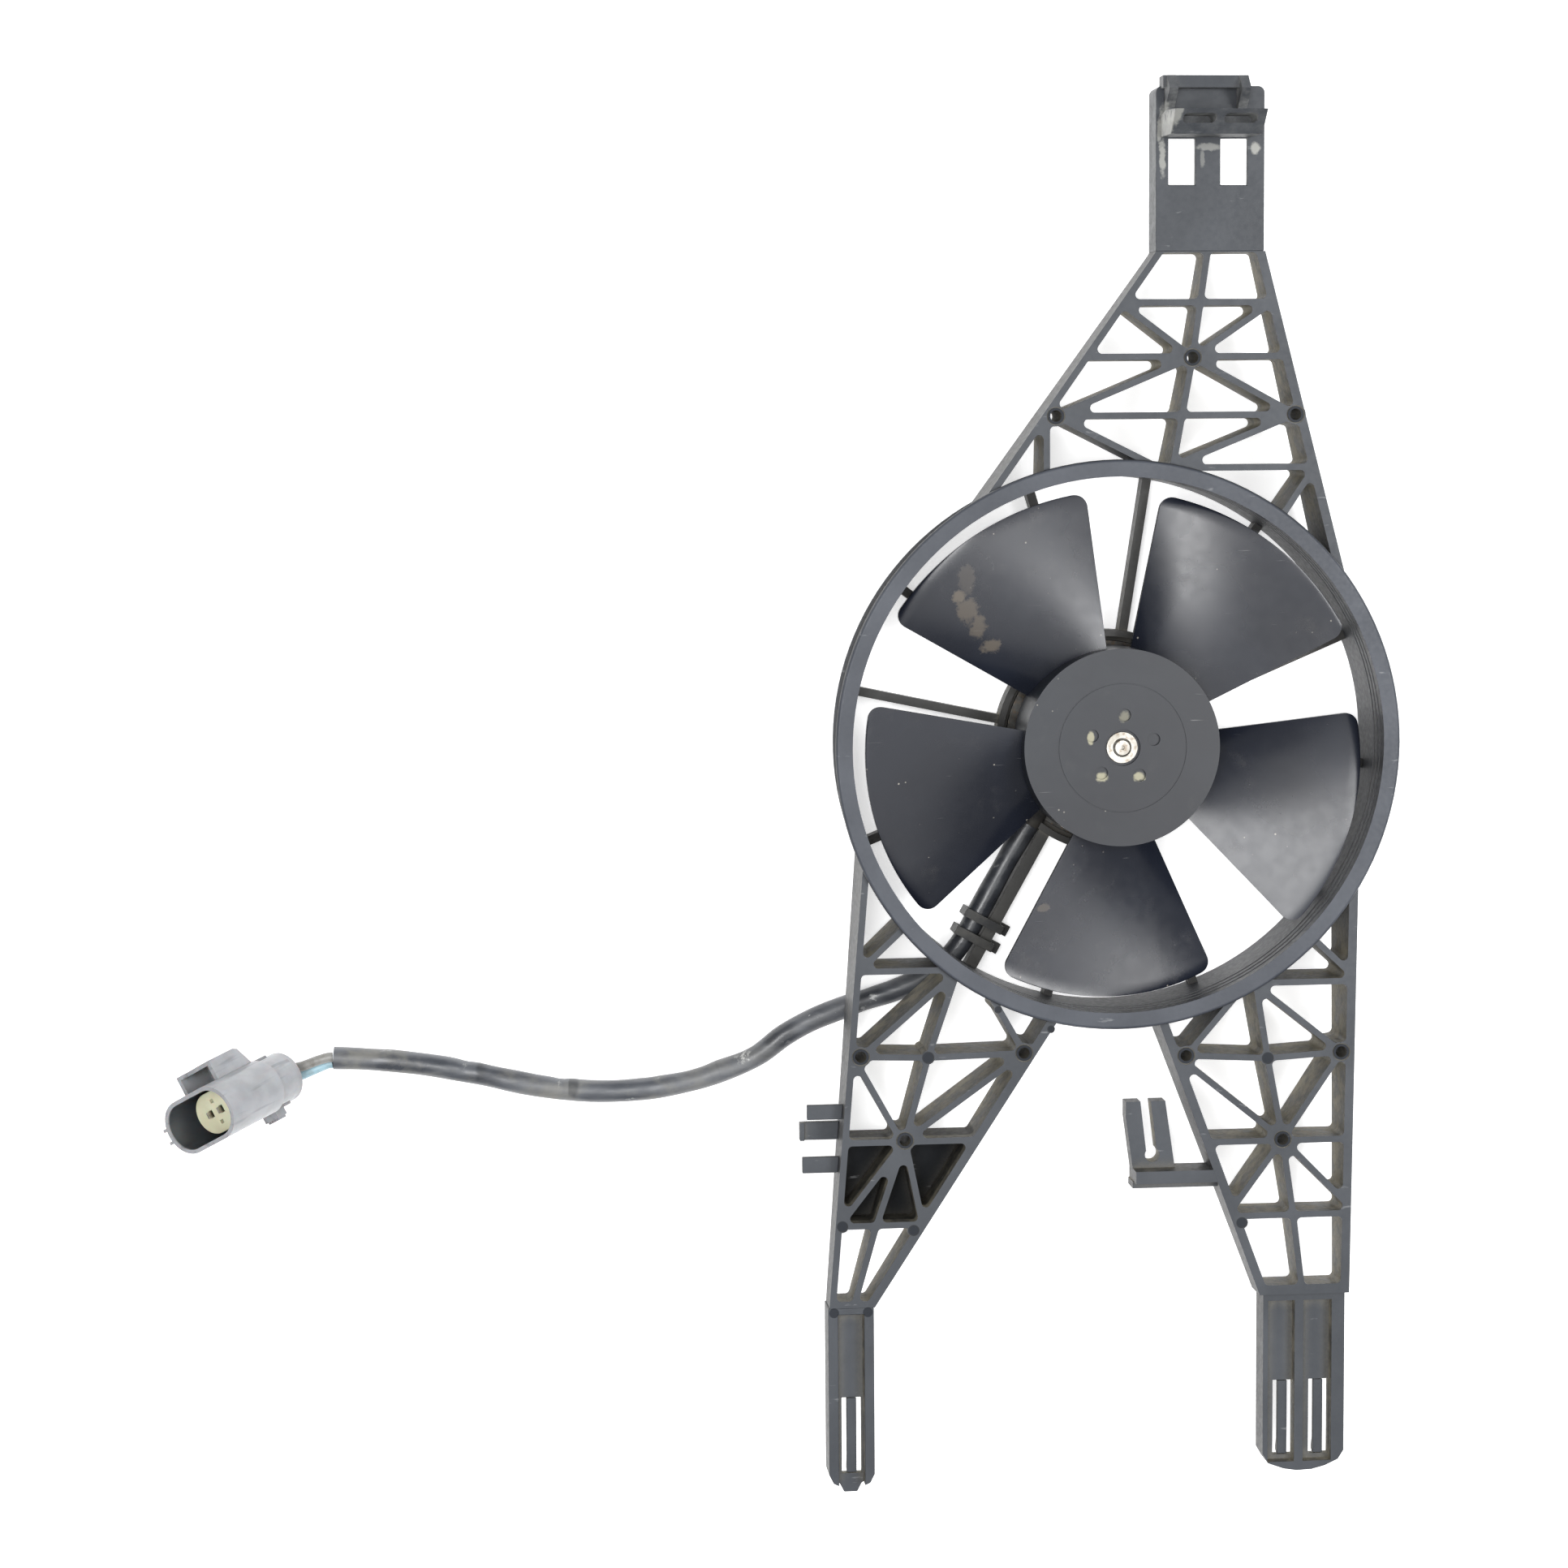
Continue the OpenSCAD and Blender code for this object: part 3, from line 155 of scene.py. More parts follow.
# %% The sleeve with its creases
# Each crease: its place along X in metres, its depth in mm, and its width in metres
creases = [(-0.2895, 1.0, 0.0036), (-0.2583, 0.5, 0.0055), (-0.2473, 1.2, 0.0032),
           (-0.2060, 0.4, 0.0040), (-0.1880, 0.4, 0.0040), (-0.1813, 0.8, 0.0040),
           (-0.1617, 1.1, 0.0085), (-0.1090, 0.5, 0.0040), (-0.3300, 0.4, 0.0050)]
SLANT = 0.35
BULGE, BULGE_AT = 0.5, 1.7
WANDER = 0.12 * MM


def crease_depth(x, side):
    """How far the wall is pushed in at x, by the nearest creases."""
    push = 0
    for at, deep, wide in creases:
        t = (x - at + SLANT * wide * side) / wide
        fold = math.exp(-t * t) - BULGE * math.exp(-(t - BULGE_AT) ** 2)
        push += deep * MM * fold * max(0, 0.25 + side)
    return push


def creased_sleeve(name, line, diameter):
    """The sleeve as a mesh; each point keeps how far along it lies and how deep its pinch is."""
    made = as_mesh(round_curve(name, line, diameter, sides=8))
    mesh = made.data
    tree = kdtree.KDTree(len(line))
    along = [0]
    for a, b in zip(line, line[1:]):
        along.append(along[-1] + (b - a).length)
    for i, p in enumerate(line):
        tree.insert(p, i)
    tree.balance()
    run = mesh.attributes.new("along", "FLOAT", "POINT")
    pinch = mesh.attributes.new("pinch", "FLOAT", "POINT")
    for i, v in enumerate(mesh.vertices):
        centre, index, _ = tree.find(v.co)
        run.data[i].value = along[index]
        out = (v.co - centre).normalized()
        lift = WANDER * (math.sin(along[index] * 210) + math.sin(along[index] * 137 + 2))
        push = crease_depth(centre.x, out.z * 0.6 + out.y * 0.5)
        pinch.data[i].value = push / MM
        lift -= push
        v.co += out * lift * (0.6 + 0.4 * abs(out.z))
        v.co.z = max(v.co.z, 0.25 * MM)
    return made


sleeve = creased_sleeve("sleeve_creased", sleeve_line, 0.010)
ridden(sleeve, "sleeve_vinyl", "cable_sleeve")
print(sleeve.name, len(sleeve.data.polygons), "faces")

# %% [markdown]
# The two leads come out of the sleeve's open end and go into the rubber seal of the plug.
# The plug lies tilted, so its points are worked out in its own frame, as the solid does.

# %% The two leads
plug_place = Vector((-371, -144.3, 9.3)) * MM
in_plug = Matrix.Translation(plug_place)
for degrees, axis in ((196.5, "Z"), (38, "Y"), (13.5, "Z")):
    in_plug = in_plug @ Matrix.Rotation(math.radians(degrees), 4, axis)


def plug_point(x, y, z):
    """A point of the plug, from millimetres in its own frame to the row frame in mm."""
    return (in_plug @ (Vector((x, y, z)) * MM)) / MM


lead_d = 4.4 * MM
grey_line = smooth_line([(-348.3, -136.2, 6.6), (-351, -136.4, 6.7), (-355, -137.5, 6.6),
                         (-358.5, -138.8, 6.4), (-361.8, -140, 6.1), plug_point(-2, -1.15, -7.4),
                         plug_point(-2, -1.15, -6)], 6)
blue_line = smooth_line([(-348.5, -139.5, 3.3), (-350.8, -139.8, 3.1), (-354.5, -141.3, 2.7),
                         (-359, -143.2, 2.5), (-363.5, -144.9, 2.4), plug_point(2, 1.15, -7.2),
                         plug_point(2, 1.15, -6)], 6)
grey_lead = as_mesh(round_curve("lead_grey", grey_line, lead_d))
ridden(grey_lead, "grey_insulation", "wire_grey")
blue_lead = as_mesh(round_curve("lead_blue", blue_line, lead_d))
ridden(blue_lead, "blue_insulation", "wire_blue")
print("leads", round(line_length(grey_line), 4), round(line_length(blue_line), 4), "m")

# %% [markdown]
# ## The blades
# The solid's blades are coarse facets, and a shiny blade shows each of them. They are drawn
# again from the same rule: the height rises evenly from the leading to the trailing edge, and
# the middle bellies forward by 2 mm. Only the leading edge curls back a little more, which
# gives it the dark rim of the photograph. The roots end inside the hub's wall. A flat grid is
# the easiest start: each of its points is moved to its place on the blade, and the bent sheet
# is extruded to its thickness.

# %% Smooth blades
# Lengths in mm, FIRST_BLADE and HALF_SPAN in degrees
BLADE_COUNT = 5
FIRST_BLADE = 38
ROOT_R, TIP_R, TIP_CORNER = 42.1, 112.5, 6.0
HALF_SPAN = 26.25
BLADE_THICK = 2.6
MIDDLE, RISE, BELLY, CURL = 32, 9.5, 2, 1.1


def blade_half(r):
    """Half of the blade's width at radius r, in degrees; less in the round corners."""
    over = r - (TIP_R - TIP_CORNER)
    if over <= 0:
        return HALF_SPAN
    cut = TIP_CORNER - math.sqrt(max(0.0, TIP_CORNER ** 2 - over ** 2))
    return HALF_SPAN - math.degrees(cut / TIP_R)


def blade_height(u):
    """Height of the blade's middle, for u from -1 at one edge to 1 at the other."""
    curl = CURL * (max(0.0, -u - 0.5) / 0.5) ** 2
    return MIDDLE + RISE * u + BELLY * (1 - u * u) - curl


def blade_radii(straight=16, rounded=10):
    """Radii of the rows of points: even up to the round corner, and denser in it."""
    corner_from = TIP_R - TIP_CORNER
    rows = [ROOT_R + (corner_from - ROOT_R) * i / straight for i in range(straight + 1)]
    turns = [math.sin(math.pi / 2 * i / rounded) for i in range(1, rounded + 1)]
    return rows + [corner_from + TIP_CORNER * turn for turn in turns]


def smooth_blades(name, columns=40):
    """All blades: each is a grid bent to the rule and extruded to its thickness."""
    radii = blade_radii()
    rows = len(radii) - 1
    bm = bmesh.new()
    for blade in range(BLADE_COUNT):
        centre = 90 - FIRST_BLADE - blade * 360 / BLADE_COUNT
        sheet = bmesh.ops.create_grid(bm, x_segments=rows, y_segments=columns, size=1)["verts"]
        for v in sheet:
            r = radii[round((v.co.x + 1) / 2 * rows)]
            u = v.co.y
            at = math.radians(centre - u * blade_half(r))
            low = blade_height(u) - BLADE_THICK / 2
            v.co = Vector((r * math.cos(at), r * math.sin(at), low)) * MM
        faces = list(dict.fromkeys(face for v in sheet for face in v.link_faces))
        lifted = bmesh.ops.extrude_face_region(bm, geom=faces, use_keep_orig=True)["geom"]
        top = [piece for piece in lifted if isinstance(piece, bmesh.types.BMVert)]
        bmesh.ops.translate(bm, verts=top, vec=(0, 0, BLADE_THICK * MM))
    bmesh.ops.recalc_face_normals(bm, faces=bm.faces)
    mesh = bpy.data.meshes.new(name)
    bm.to_mesh(mesh)
    bm.free()
    mesh.polygons.foreach_set("use_smooth", [True] * len(mesh.polygons))
    made = bpy.data.objects.new(name, mesh)
    scene.collection.objects.link(made)
    return made


blades = smooth_blades("blades_smooth")
ridden(blades, "impeller_plastic", "impeller_blades", body="rotor")
print(blades.name, len(blades.data.polygons), "faces")

# %% [markdown]
# ## Finishes
# Every finish is a small tree of noise patterns on Object coordinates: a base colour that
# wanders a little, fine grain in the roughness, a bump for the grain of the mould, and dust
# that settles on the walls that look sideways. The helpers keep each tree short.

# %% Helpers for finishes
def colour(r, g, b):
    """Scene colour from the 0 to 255 numbers of a colour picker."""
    line = [c / 3294.6 if c <= 10 else ((c / 255 + 0.055) / 1.055) ** 2.4 for c in (r, g, b)]
    return (*line, 1)


RAGGED = 2.0


class Finish:
    """A material with its shader, and short calls for the patterns in it."""

    def __init__(self, name, rough=0.5, metal=0.0, gloss=0.5):
        self.material = bpy.data.materials.new(name)
        self.material.use_nodes = True
        self.tree = self.material.node_tree
        self.shader = self.tree.nodes["Principled BSDF"]
        self.set("Roughness", rough)
        self.set("Metallic", metal)
        self.set("Specular IOR Level", gloss)
        self.place = self.node("ShaderNodeTexCoord")

    def node(self, kind, **settings):
        made = self.tree.nodes.new(kind)
        for name, value in settings.items():
            setattr(made, name, value)
        return made

    def join(self, value, socket):
        if isinstance(value, bpy.types.NodeSocket):
            self.tree.links.new(value, socket)
        else:
            socket.default_value = value

    def set(self, name, value):
        self.join(value, self.shader.inputs[name])

    def stretched(self, stretch):
        mapping = self.node("ShaderNodeMapping")
        self.join(self.place.outputs["Object"], mapping.inputs["Vector"])
        mapping.inputs["Scale"].default_value = stretch
        return mapping.outputs["Vector"]

    def noise(self, scale, detail=3, stretch=(1, 1, 1), seed=0.0, lumps=0.5):
        made = self.node("ShaderNodeTexNoise", noise_dimensions="4D")
        self.join(self.stretched(stretch), made.inputs["Vector"])
        made.inputs["W"].default_value = seed
        made.inputs["Scale"].default_value = scale
        made.inputs["Detail"].default_value = detail
        made.inputs["Roughness"].default_value = lumps
        return made.outputs["Fac"]

    def specks(self, scale, size, seed=0.0):
        """1 in small dots strewn over the surface, 0 between them."""
        dots = self.node("ShaderNodeTexVoronoi", voronoi_dimensions="4D")
        self.join(self.place.outputs["Object"], dots.inputs["Vector"])
        dots.inputs["W"].default_value = seed
        dots.inputs["Scale"].default_value = scale
        return self.between(dots.outputs["Distance"], size, size * 0.5)

    def between(self, value, start, end, low=0.0, high=1.0):
        """low up to start, high from end on, and smooth in between."""
        made = self.node("ShaderNodeMapRange", interpolation_type="SMOOTHSTEP")
        self.join(value, made.inputs["Value"])
        for name, number in (("From Min", start), ("From Max", end),
                             ("To Min", low), ("To Max", high)):
            made.inputs[name].default_value = number
        return made.outputs["Result"]

    def maths(self, operation, a, b=0.0):
        made = self.node("ShaderNodeMath", operation=operation)
        self.join(a, made.inputs[0])
        self.join(b, made.inputs[1])
        return made.outputs["Value"]

    def times(self, a, b):
        return self.maths("MULTIPLY", a, b)

    def blend(self, share, a, b):
        """Colour a where share is 0 and colour b where it is 1."""
        made = self.node("ShaderNodeMix", data_type="RGBA")
        self.join(share, made.inputs["Factor"])
        self.join(a, made.inputs[6])
        self.join(b, made.inputs[7])
        return made.outputs[2]

    def part_of(self, axis, source="Object"):
        """X, Y or Z of the place in metres, or of the face's direction for Normal."""
        parts = self.node("ShaderNodeSeparateXYZ")
        self.join(self.place.outputs[source], parts.inputs["Vector"])
        return parts.outputs[axis]

    def sideways(self):
        """1 on walls that look sideways, 0 on faces that look along Z."""
        return self.between(self.maths("ABSOLUTE", self.part_of("Z", "Normal")), 0.9, 0.4)

    def facing_up(self):
        """1 on faces that look up, 0 on walls and undersides."""
        return self.between(self.part_of("Z", "Normal"), 0.1, 0.4)

    def patch(self, x, y, wide, tall):
        """1 round a place given in mm and 0 away from it, with a ragged edge."""
        offset = self.node("ShaderNodeMapping", vector_type="TEXTURE")
        self.join(self.place.outputs["Object"], offset.inputs["Vector"])
        offset.inputs["Location"].default_value = (x * MM, y * MM, 0)
        offset.inputs["Scale"].default_value = (wide * MM, tall * MM, 1)
        away = self.node("ShaderNodeVectorMath", operation="LENGTH")
        self.join(offset.outputs["Vector"], away.inputs[0])
        edge = self.maths("SUBTRACT", self.noise(260, 6, seed=x, lumps=0.65), 0.5)
        worn = self.maths("ADD", away.outputs["Value"], self.times(edge, RAGGED))
        return self.between(worn, 1.1, 0.6)

    def disc(self, x, y, radius, soft=0.25):
        """1 inside an upright cylinder given in mm, with a narrow soft edge."""
        flat = self.node("ShaderNodeMapping")
        self.join(self.place.outputs["Object"], flat.inputs["Vector"])
        flat.inputs["Location"].default_value = (-x * MM, -y * MM, 0)
        flat.inputs["Scale"].default_value = (1, 1, 0)
        away = self.node("ShaderNodeVectorMath", operation="LENGTH")
        self.join(flat.outputs["Vector"], away.inputs[0])
        return self.between(away.outputs["Value"], (radius + soft) * MM, radius * MM)

    def corners(self, reach):
        """1 deep in a corner and 0 in the open, for what collects in crevices."""
        made = self.node("ShaderNodeAmbientOcclusion", samples=6, only_local=True)
        made.inputs["Distance"].default_value = reach
        return self.between(made.outputs["AO"], 0.95, 0.35)

    def grain(self, height, depth, strength=1.0):
        """Bump of that depth, in metres, from a pattern. Calls add up."""
        made = self.node("ShaderNodeBump")
        made.inputs["Strength"].default_value = strength
        made.inputs["Distance"].default_value = depth
        self.join(height, made.inputs["Height"])
        before = self.shader.inputs["Normal"].links
        if before:
            self.join(before[0].from_socket, made.inputs["Normal"])
        self.join(made.outputs["Normal"], self.shader.inputs["Normal"])


print("finish helpers ready")

# %% [markdown]
# The frame is black nylon filled with glass fibre. Out of the mould it is nearly black; years
# of weather leave it a chalky blue grey, with fine flow marks, pale scuffs and brown road dust
# inside its pockets. Ambient occlusion tells where that is: a wall that sees little of the
# sky is enclosed and holds dust, and an outer wall has only a thin haze. The four closed
# pockets of the left leg are painted nearly black as shade, and hold less dust.

# %% Where the dust lies, and the painted shade of the closed pockets
DUST = colour(148, 142, 126)
# Each limit goes from 0 at the first to 1 at the second place, in metres
pocket_limits = (("Y", -0.2145, -0.2135), ("Y", -0.170, -0.172),
                 ("X", -0.1225, -0.1215), ("X", -0.045, -0.046), ("Z", 0.037, 0.034))


def painted_pocket_shade(f):
    """1 on the floors and low walls of the left leg's closed pockets, where shade is painted."""
    share = 1.0
    for axis, start, end in pocket_limits:
        share = f.times(share, f.between(f.part_of(axis), start, end))
    return share


def dust_share(f, side, pocket_shade, dust, haze, seed):
    """How much of the colour is dust, up to 0.9; most in deep, enclosed places."""
    patch = f.between(f.noise(120, 6, seed=seed + 5, lumps=0.65), 0.36, 0.64, 0.2, 1.0)
    low = f.between(f.part_of("Z"), 0.040, 0.012)
    enclosed = f.times(f.corners(0.03), f.maths("ADD", f.times(low, 0.45), 0.7))
    wall = f.times(side, f.maths("ADD", enclosed, haze))
    amount = f.maths("ADD", f.times(wall, patch), f.times(f.corners(0.006), 0.35))
    amount = f.times(amount, dust)
    # Less dust in the closed pockets, so that their painted shade stays dark.
    if pocket_shade:
        amount = f.times(amount, f.maths("SUBTRACT", 1.0, f.times(pocket_shade, 0.75)))
    fine = f.between(f.noise(900, 3, seed=seed + 8), 0.3, 0.7, 0.7, 1.0)
    return f.maths("MINIMUM", f.times(amount, fine), 0.9)


print("closed pockets from", pocket_limits[0][1], "to", pocket_limits[1][1], "m along Y")

# %% [markdown]
# The ejector pins of the mould leave round, smooth, dark scars beside the ribs, and round each
# boss's bore a dark disc is painted as the shade of its groove. They are discs in the finish,
# and less shiny than the rest, because a dark spot that still mirrors the lights wouldn't look
# dark. Only the finish of the trusses and feet has them; on the other pieces the shine is one
# plain number.

# %% Nylon of the frame
def nylon(name, dark, pale, dust, seed, marks=(), scars_and_boss_shade=(), dust_tone=DUST, haze=0.12):
    """Weathered black nylon. With scars and boss shade, places in mm, it also paints shade into the
    closed pockets.
    """
    f = Finish(name, gloss=0.42)
    cloud = f.between(f.noise(26, 5, seed=seed), 0.32, 0.7)
    streak = f.noise(210, 4, (1, 0.35, 1), seed + 3)
    tone = f.blend(f.maths("ADD", f.times(cloud, 0.65), f.times(streak, 0.35)), dark, pale)
    side = f.sideways()
    tone = f.blend(f.times(side, 0.5), tone, colour(32, 32, 34))
    # Painted shade: the closed pockets of the left leg are darkened nearly to black.
    pocket_shade = painted_pocket_shade(f) if scars_and_boss_shade else None
    if pocket_shade:
        shade = f.times(pocket_shade, f.maths("SUBTRACT", 0.85, f.times(side, 0.3)))
        tone = f.blend(shade, tone, colour(13, 14, 16))
    amount = dust_share(f, side, pocket_shade, dust, haze, seed)
    tone = f.blend(amount, tone, dust_tone)
    scuff = f.between(f.noise(330, 5, (0.25, 1, 1), seed + 11), 0.66, 0.74)
    tone = f.blend(f.times(scuff, 0.35), tone, colour(150, 152, 154))
    # Dark discs: mould scars of the ejector pins, and painted shade of the grooves round the boss
    # bores.
    if scars_and_boss_shade:
        scarred_or_shaded = 0.0
        for x, y, radius in scars_and_boss_shade:
            scarred_or_shaded = f.maths("MAXIMUM", scarred_or_shaded, f.disc(x, y, radius))
        tone = f.blend(f.times(scarred_or_shaded, 0.6), tone, colour(24, 27, 33))
        dull = f.maths("MAXIMUM", pocket_shade, f.times(scarred_or_shaded, 0.7))
        f.set("Specular IOR Level", f.between(dull, 0, 1, 0.42, 0.06))
    for x, y, wide, tall, share in marks:
        tone = f.blend(f.times(f.patch(x, y, wide, tall), share), tone, colour(168, 168, 162))
    wear = f.between(f.noise(500, 3, seed=seed + 14), 0.3, 0.7, 0.4, 0.52)
    f.set("Base Color", tone)
    f.set("Roughness", f.maths("ADD", f.times(amount, 0.3), wear))
    f.grain(f.noise(1500, 2, seed=seed + 17), 0.00004, 0.5)
    f.grain(f.noise(45, 4, seed=seed + 19), 0.0004, 0.25)
    return f.material


# The boss discs are painted shade, of the groove round each bore.
BOSS_SHADE_RADIUS = 3.5
boss_places = [(32.5, 170), (-28, 145), (78.5, 145), (-115.5, -136), (-42.5, -136), (-96, -174),
               (30.5, -139), (101, -139), (74.5, -178)]
ejector_scars = [(-85.5, -137, 2.6), (-124.2, -212, 2.4), (-92.3, -214.6, 2.4),
                 (-54.1, -116.2, 1.5), (-30.5, -125.5, 1.5), (67.5, -141, 2.6),
                 (56, -215.5, 2.4), (-128.2, -251, 2.1), (-113.1, -251, 2.1)]
scars_and_boss_shade = ejector_scars + [(x, y, BOSS_SHADE_RADIUS) for x, y in boss_places]
frame_nylon = nylon("nylon_frame", colour(42, 46, 52), colour(62, 66, 72), 1.1, 0.0, scars_and_boss_shade=scars_and_boss_shade)
ring_nylon = nylon("nylon_ring", colour(48, 52, 60), colour(70, 74, 82), 0.5, 20.0)
spoke_nylon = nylon("nylon_spokes", colour(36, 36, 36), colour(56, 55, 52), 0.8, 40.0)
print("frame nylon made, with", len(scars_and_boss_shade), "scars_and_boss_shade")

# %% [markdown]
# The neck and its hook are cleaner, with a pale haze instead of brown dust, and a few chalky
# marks round the windows, which are patches with a ragged edge.

# %% Nylon of the neck and the hook
neck_marks = [(18.9, 256, 1.7, 9, 0.6), (19.6, 273, 2.2, 7, 0.5), (17.5, 268, 1.2, 6, 0.5),
              (39.5, 260.8, 6, 1.6, 0.45), (60.2, 260.5, 2.2, 3, 0.7), (36.5, 256, 1.2, 4, 0.3)]
NECK_DARK, NECK_PALE = colour(41, 45, 51), colour(56, 60, 66)
neck_nylon = nylon("nylon_neck", NECK_DARK, NECK_PALE, 0.8, 60.0, neck_marks,
                   dust_tone=colour(158, 160, 160), haze=0.6)
catch_nylon = nylon("nylon_catch", NECK_DARK, NECK_PALE, 0.8, 70.0, neck_marks,
                    dust_tone=colour(156, 157, 156), haze=0.45)
print("neck nylon made, with", len(neck_marks), "marks")

# %% [markdown]
# The blades are the same plastic without glass: smoother, darker and shinier. Grit has left
# pale specks and hairline scratches, and there is a smear of dried mud on one blade.

# %% Plastic of the blades and the hub
def blade_plastic(name, dark, pale, rough, seed, marks=(), dirt=colour(128, 116, 98)):
    """Smooth nylon with grit marks; marks are places of dried dirt, in mm."""
    f = Finish(name, gloss=0.5)
    cloud = f.between(f.noise(14, 4, seed=seed), 0.3, 0.7)
    tone = f.blend(cloud, dark, pale)
    hazy = f.between(f.noise(60, 6, seed=seed + 2, lumps=0.65), 0.55, 0.8)
    tone = f.blend(f.times(hazy, 0.08), tone, colour(112, 108, 100))
    speck = f.times(f.specks(300, 0.16, seed), f.between(f.noise(30, 3, seed=seed + 4), 0.5, 0.6))
    tone = f.blend(f.times(speck, 0.7), tone, colour(165, 160, 150))
    line = f.times(f.between(f.noise(42, 2, (1, 22, 1), seed + 6), 0.72, 0.745),
                   f.between(f.noise(18, 2, seed=seed + 7), 0.5, 0.6))
    tone = f.blend(f.times(line, 0.4), tone, colour(130, 130, 130))
    matt_share = f.times(hazy, 0.06)
    above = f.facing_up()
    for x, y, wide, tall, share in marks:
        smear = f.times(f.times(f.patch(x, y, wide, tall), above), share)
        tone = f.blend(smear, tone, dirt)
        matt_share = f.maths("ADD", matt_share, f.times(smear, 0.4))
    wear = f.between(f.noise(180, 4, seed=seed + 9), 0.3, 0.7, rough, rough + 0.05)
    f.set("Base Color", tone)
    f.set("Roughness", f.maths("ADD", matt_share, wear))
    f.grain(f.noise(1800, 2, seed=seed + 12), 0.00002, 0.35)
    return f


mud = [(-69, 66.5, 3.5, 3, 0.4), (-65.5, 60, 5, 6, 0.3), (-61, 53, 4, 6, 0.3),
       (-55, 44.5, 4.5, 4, 0.35), (-66, 74, 4, 7, 0.14), (-34, -71, 3, 2, 0.2)]
chalk = [(-14, 4.5, 1.6, 3, 0.8), (-9.3, -13.2, 2.6, 2.4, 0.8), (7.5, -13, 3, 2.2, 0.8),
         (1.2, 13.7, 3, 3, 0.35)]
blade_finish = blade_plastic("plastic_blades", colour(20, 23, 32), colour(30, 34, 44),
                             0.22, 80.0, mud)
hub_finish = blade_plastic("plastic_hub", colour(21, 24, 32), colour(33, 37, 44),
                           0.34, 100.0, chalk, colour(170, 166, 142))
cap_finish = blade_plastic("plastic_cap", colour(30, 31, 34), colour(44, 44, 44), 0.5, 120.0)
print("blade plastic made, with", len(mud), "patches of mud")

# %% [markdown]
# Metals: the shaft end and its insert are bright steel with rust in the corners, the motor
# case is plated and dull, the core inside is a stack of dark laminations.

# %% Metals
def metal(name, bright, dull, rough, seed, spots=0.0, stretch=(1, 1, 1)):
    """Worn metal; spots is the strength of its rust, stretch draws the pattern out."""
    f = Finish(name, metal=1.0)
    cloud = f.between(f.noise(160, 5, stretch, seed), 0.3, 0.7)
    tone = f.blend(cloud, bright, dull)
    if spots:
        rust = f.between(f.noise(420, 6, seed=seed + 3, lumps=0.65), 0.5, 0.62)
        tone = f.blend(f.times(rust, spots), tone, colour(112, 92, 70))
    f.set("Base Color", tone)
    f.set("Roughness", f.between(f.noise(700, 3, stretch, seed + 5), 0.3, 0.7, rough, rough + 0.2))
    f.grain(f.noise(1200, 3, stretch, seed + 7), 0.00003, 0.4)
    return f.material


finishes = {
    "plated_steel": metal("steel_plated", colour(196, 194, 188), colour(150, 146, 138),
                          0.3, 3.0, 0.55),
    "dark_steel": metal("steel_dark", colour(92, 92, 90), colour(60, 58, 55), 0.42, 5.0, 0.4),
    "laminated_steel": metal("steel_laminated", colour(120, 118, 114), colour(66, 64, 62),
                             0.4, 7.0, 0.3, (1, 1, 12)),
    "copper_wire": metal("copper_wire", colour(196, 112, 70), colour(150, 78, 46),
                         0.3, 9.0, 0.0, (1, 1, 6)),
    "copper_bars": metal("copper_bars", colour(206, 128, 84), colour(120, 72, 50), 0.28, 11.0),
    "bronze": metal("bronze_sintered", colour(168, 130, 76), colour(120, 92, 56), 0.45, 13.0),
}


def matt(name, dark, pale, rough, scale, seed, depth=0.00004):
    """Dull, slightly uneven material: rubber, card, carbon, ferrite."""
    f = Finish(name, gloss=0.35)
    tone = f.blend(f.between(f.noise(scale, 5, seed=seed), 0.3, 0.7), dark, pale)
    wear = f.between(f.noise(scale * 4, 3, seed=seed + 2), 0.3, 0.7, rough, rough + 0.15)
    f.set("Base Color", tone)
    f.set("Roughness", wear)
    f.grain(f.noise(scale * 8, 3, seed=seed + 4), depth, 0.5)
    return f.material


finishes.update({
    "ferrite": matt("ferrite_magnet", colour(48, 47, 48), colour(70, 69, 68), 0.55, 120, 15.0),
    "carbon": matt("carbon_brush", colour(28, 28, 29), colour(52, 52, 52), 0.6, 200, 17.0),
    "card": matt("card_brush_plate", colour(96, 62, 38), colour(128, 88, 54), 0.6, 260, 19.0),
    "black_rubber": matt("rubber_black", colour(30, 30, 31), colour(56, 54, 50), 0.62, 150, 21.0),
    "tie_nylon": matt("nylon_tie", colour(26, 27, 29), colour(52, 51, 48), 0.4, 180, 23.0),
})
print(len(finishes), "finishes so far")
